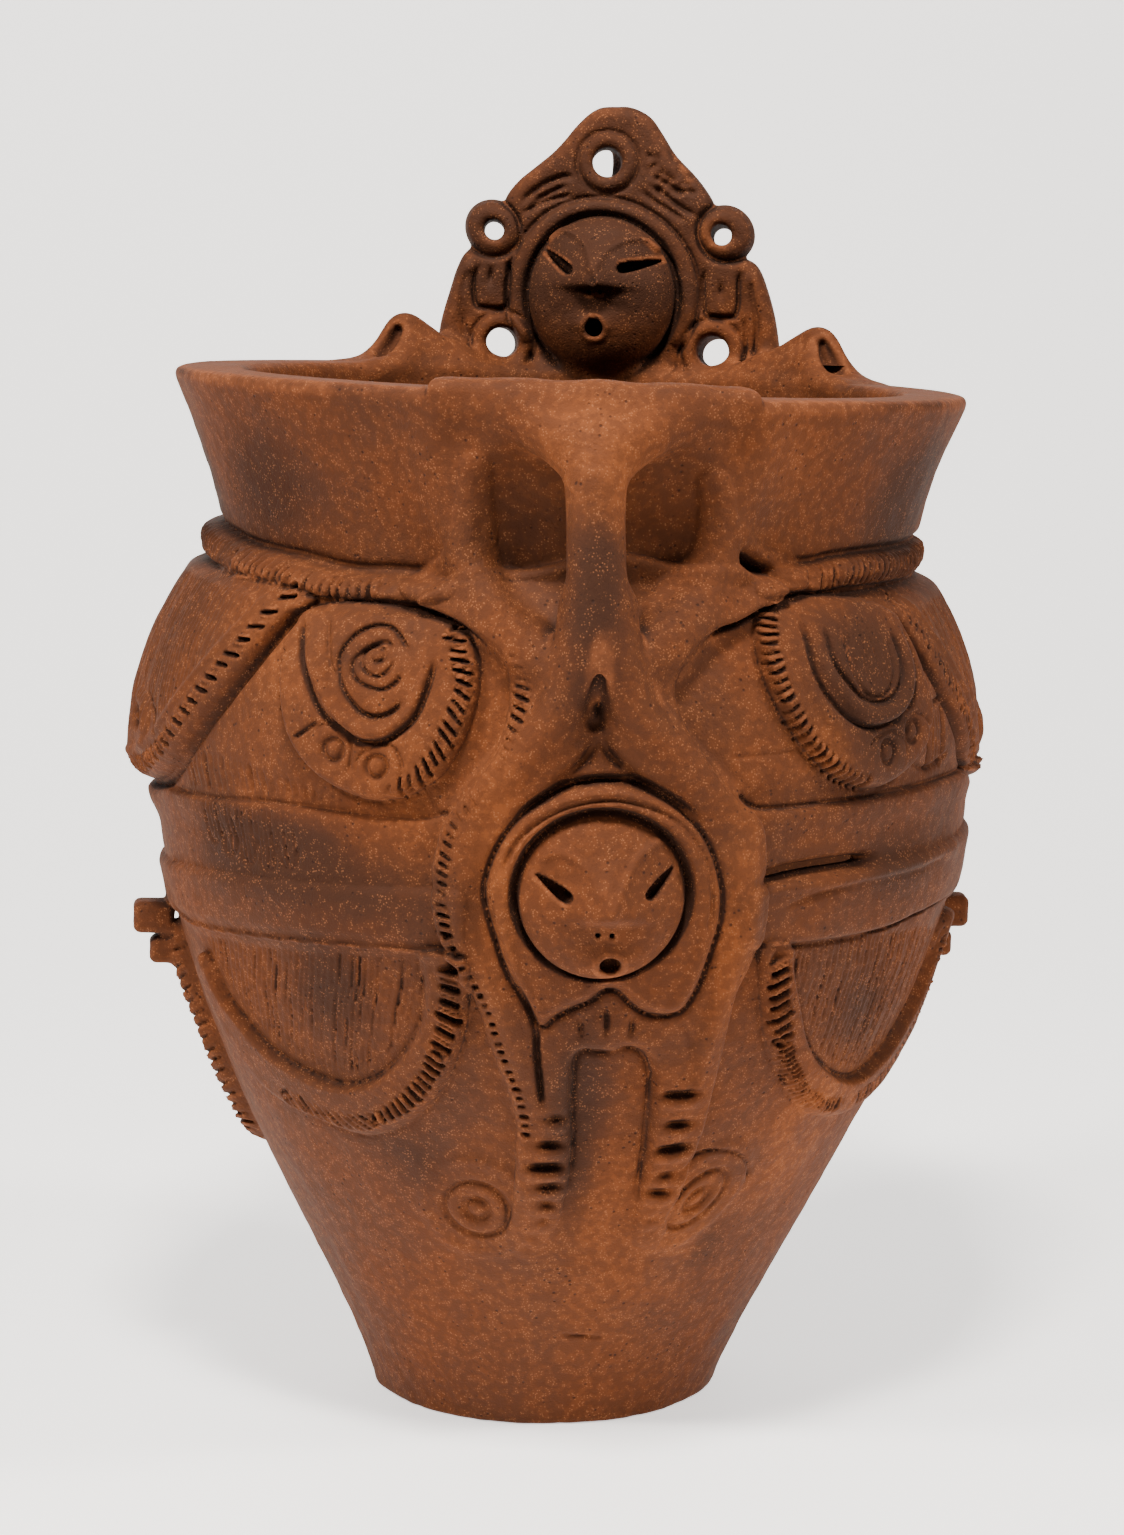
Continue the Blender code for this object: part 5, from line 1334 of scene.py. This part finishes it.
def clay_material():
    s = Shading("Earthenware")
    broad = s.noise(7.0, 5.0, 0.6, 0.6)
    patchy = s.noise(26.0, 6.0, 0.6, 0.3)
    fine = s.noise(240.0, 4.0, 0.6)
    tone = s.math('ADD', s.math('MULTIPLY', broad, 0.6), s.math('MULTIPLY', patchy, 0.4))
    color = s.mix(s.fit(tone, 0.36, 0.64), (0.072, 0.0215, 0.0066, 1), (0.105, 0.0290, 0.0080, 1))
    bright = s.math('MULTIPLY', s.attribute("bright"), s.fit(patchy, 0.30, 0.62, 0.35, 1.0))
    color = s.mix(s.math('MULTIPLY', bright, 0.85), color, (0.235, 0.066, 0.0160, 1))
    smoke = s.math('ADD', s.attribute("smoked"), s.math('MULTIPLY', s.math('SUBTRACT', tone, 0.5), -0.7), True)
    smoke = s.math('MULTIPLY', s.fit(smoke, 0.0, 0.75), 0.88)
    color = s.mix(smoke, color, (0.029, 0.0105, 0.0045, 1))
    # Painted shade: recesses and grooves darkened almost to black where the hollow attribute is high.
    color = s.mix(s.math('MULTIPLY', s.fit(s.attribute("hollow"), 0.08, 0.65), 0.85), color,
                  (0.012, 0.0050, 0.0028, 1))
    worn = s.math('MULTIPLY', s.fit(s.attribute("worn"), 0.10, 0.5), s.fit(patchy, 0.34, 0.62))
    color = s.mix(s.math('MULTIPLY', worn, 0.55), color, (0.22, 0.066, 0.022, 1))
    color = s.mix(s.fit(fine, 0.42, 0.60, 0.34, 0.0), color, (0.030, 0.010, 0.0045, 1))
    distance, grain = s.grains(900.0)
    pale_grain = s.math('MULTIPLY', s.fit(distance, 0.16, 0.42, 1.0, 0.0), s.fit(fine, 0.47, 0.58))
    color = s.mix(s.math('MULTIPLY', pale_grain, 0.50), color, (0.28, 0.105, 0.042, 1))
    pit_distance, _ = s.grains(260.0)
    pit = s.math('MULTIPLY', s.fit(pit_distance, 0.08, 0.24, 1.0, 0.0), s.fit(s.noise(60.0), 0.48, 0.58))
    color = s.mix(s.math('MULTIPLY', pit, 0.7), color, (0.016, 0.006, 0.0035, 1))
    s.feed(color, s.shader.inputs["Base Color"])
    s.feed(s.fit(tone, 0.35, 0.65, 0.72, 0.88), s.shader.inputs["Roughness"])
    s.shader.inputs["Specular IOR Level"].default_value = 0.14
    relief = s.bump(s.noise(95.0, 6.0, 0.65), 0.45, 0.0016)
    relief = s.bump(fine, 0.45, 0.0008, relief)
    relief = s.bump(s.fit(distance, 0.0, 0.6), 0.35, 0.0004, relief)
    relief = s.bump(s.math('SUBTRACT', 1.0, pit), 0.5, 0.0008, relief)
    s.tree.links.new(relief, s.shader.inputs["Normal"])
    return s.material


earthenware = clay_material()
for title, low_corner, high_corner, voxel, planes in PIECES:
    piece = new_piece(title, low_corner, high_corner, voxel, planes)
    piece.data.materials.clear()
    piece.data.materials.append(earthenware)
    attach(piece, "root")
    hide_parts("jar")


def studio():
    floor_mesh = bpy.data.meshes.new("floor")
    rows = [(-1.5, 0.0)] + [(0.9 + 0.9 * math.sin(a), 0.9 - 0.9 * math.cos(a))
                            for a in np.linspace(0, math.pi / 2, 16)] + [(1.8, 1.9)]
    verts = [(side * 1.6, y, z) for y, z in rows for side in (-1, 1)]
    faces = [(2 * k, 2 * k + 1, 2 * k + 3, 2 * k + 2) for k in range(len(rows) - 1)]
    floor_mesh.from_pydata(verts, [], faces)
    floor_mesh.shade_smooth()
    floor = bpy.data.objects.new("floor", floor_mesh)
    bpy.context.scene.collection.objects.link(floor)
    material = bpy.data.materials.new("Backdrop")
    material.use_nodes = True
    shader = material.node_tree.nodes["Principled BSDF"]
    shader.inputs["Base Color"].default_value = (0.92, 0.91, 0.90, 1)
    shader.inputs["Roughness"].default_value = 0.7
    shader.inputs["Emission Color"].default_value = (1.0, 0.985, 0.975, 1)
    shader.inputs["Emission Strength"].default_value = 0.8
    floor_mesh.materials.append(material)


def area_light(name, place, aim, size, power, color):
    light = bpy.data.lights.new(name, 'AREA')
    light.shape = 'RECTANGLE'
    light.size, light.size_y = size
    light.energy = power
    light.color = color
    holder = bpy.data.objects.new(name, light)
    holder.location = place
    direction = Vector(aim) - Vector(place)
    holder.rotation_euler = direction.to_track_quat('-Z', 'Y').to_euler()
    bpy.context.scene.collection.objects.link(holder)


studio()
area_light("top", (-0.15, -0.85, 1.95), (0, 0, 0.3), (0.3, 0.3), 62, (1.0, 0.95, 0.89))
area_light("left", (-1.5, -0.7, 1.7), (0, 0, 0.2), (0.35, 0.35), 52, (1.0, 0.95, 0.89))
area_light("right", (1.5, -0.7, 1.7), (0, 0, 0.2), (0.35, 0.35), 38, (1.0, 0.95, 0.89))
world = bpy.data.worlds.new("Studio")
world.use_nodes = True
world.node_tree.nodes["Background"].inputs["Color"].default_value = (0.93, 0.93, 0.97, 1)
world.node_tree.nodes["Background"].inputs["Strength"].default_value = 0.22
bpy.context.scene.world = world

lens = bpy.data.cameras.new("camera")
lens.lens = 86.66
lens.sensor_width = 36.0
camera = bpy.data.objects.new("camera", lens)
camera.location = (-0.1632, -1.6419, 0.521)
camera.rotation_euler = (math.radians(90 - 8.25), 0.0, math.radians(-6.0))
bpy.context.scene.collection.objects.link(camera)
bpy.context.scene.camera = camera
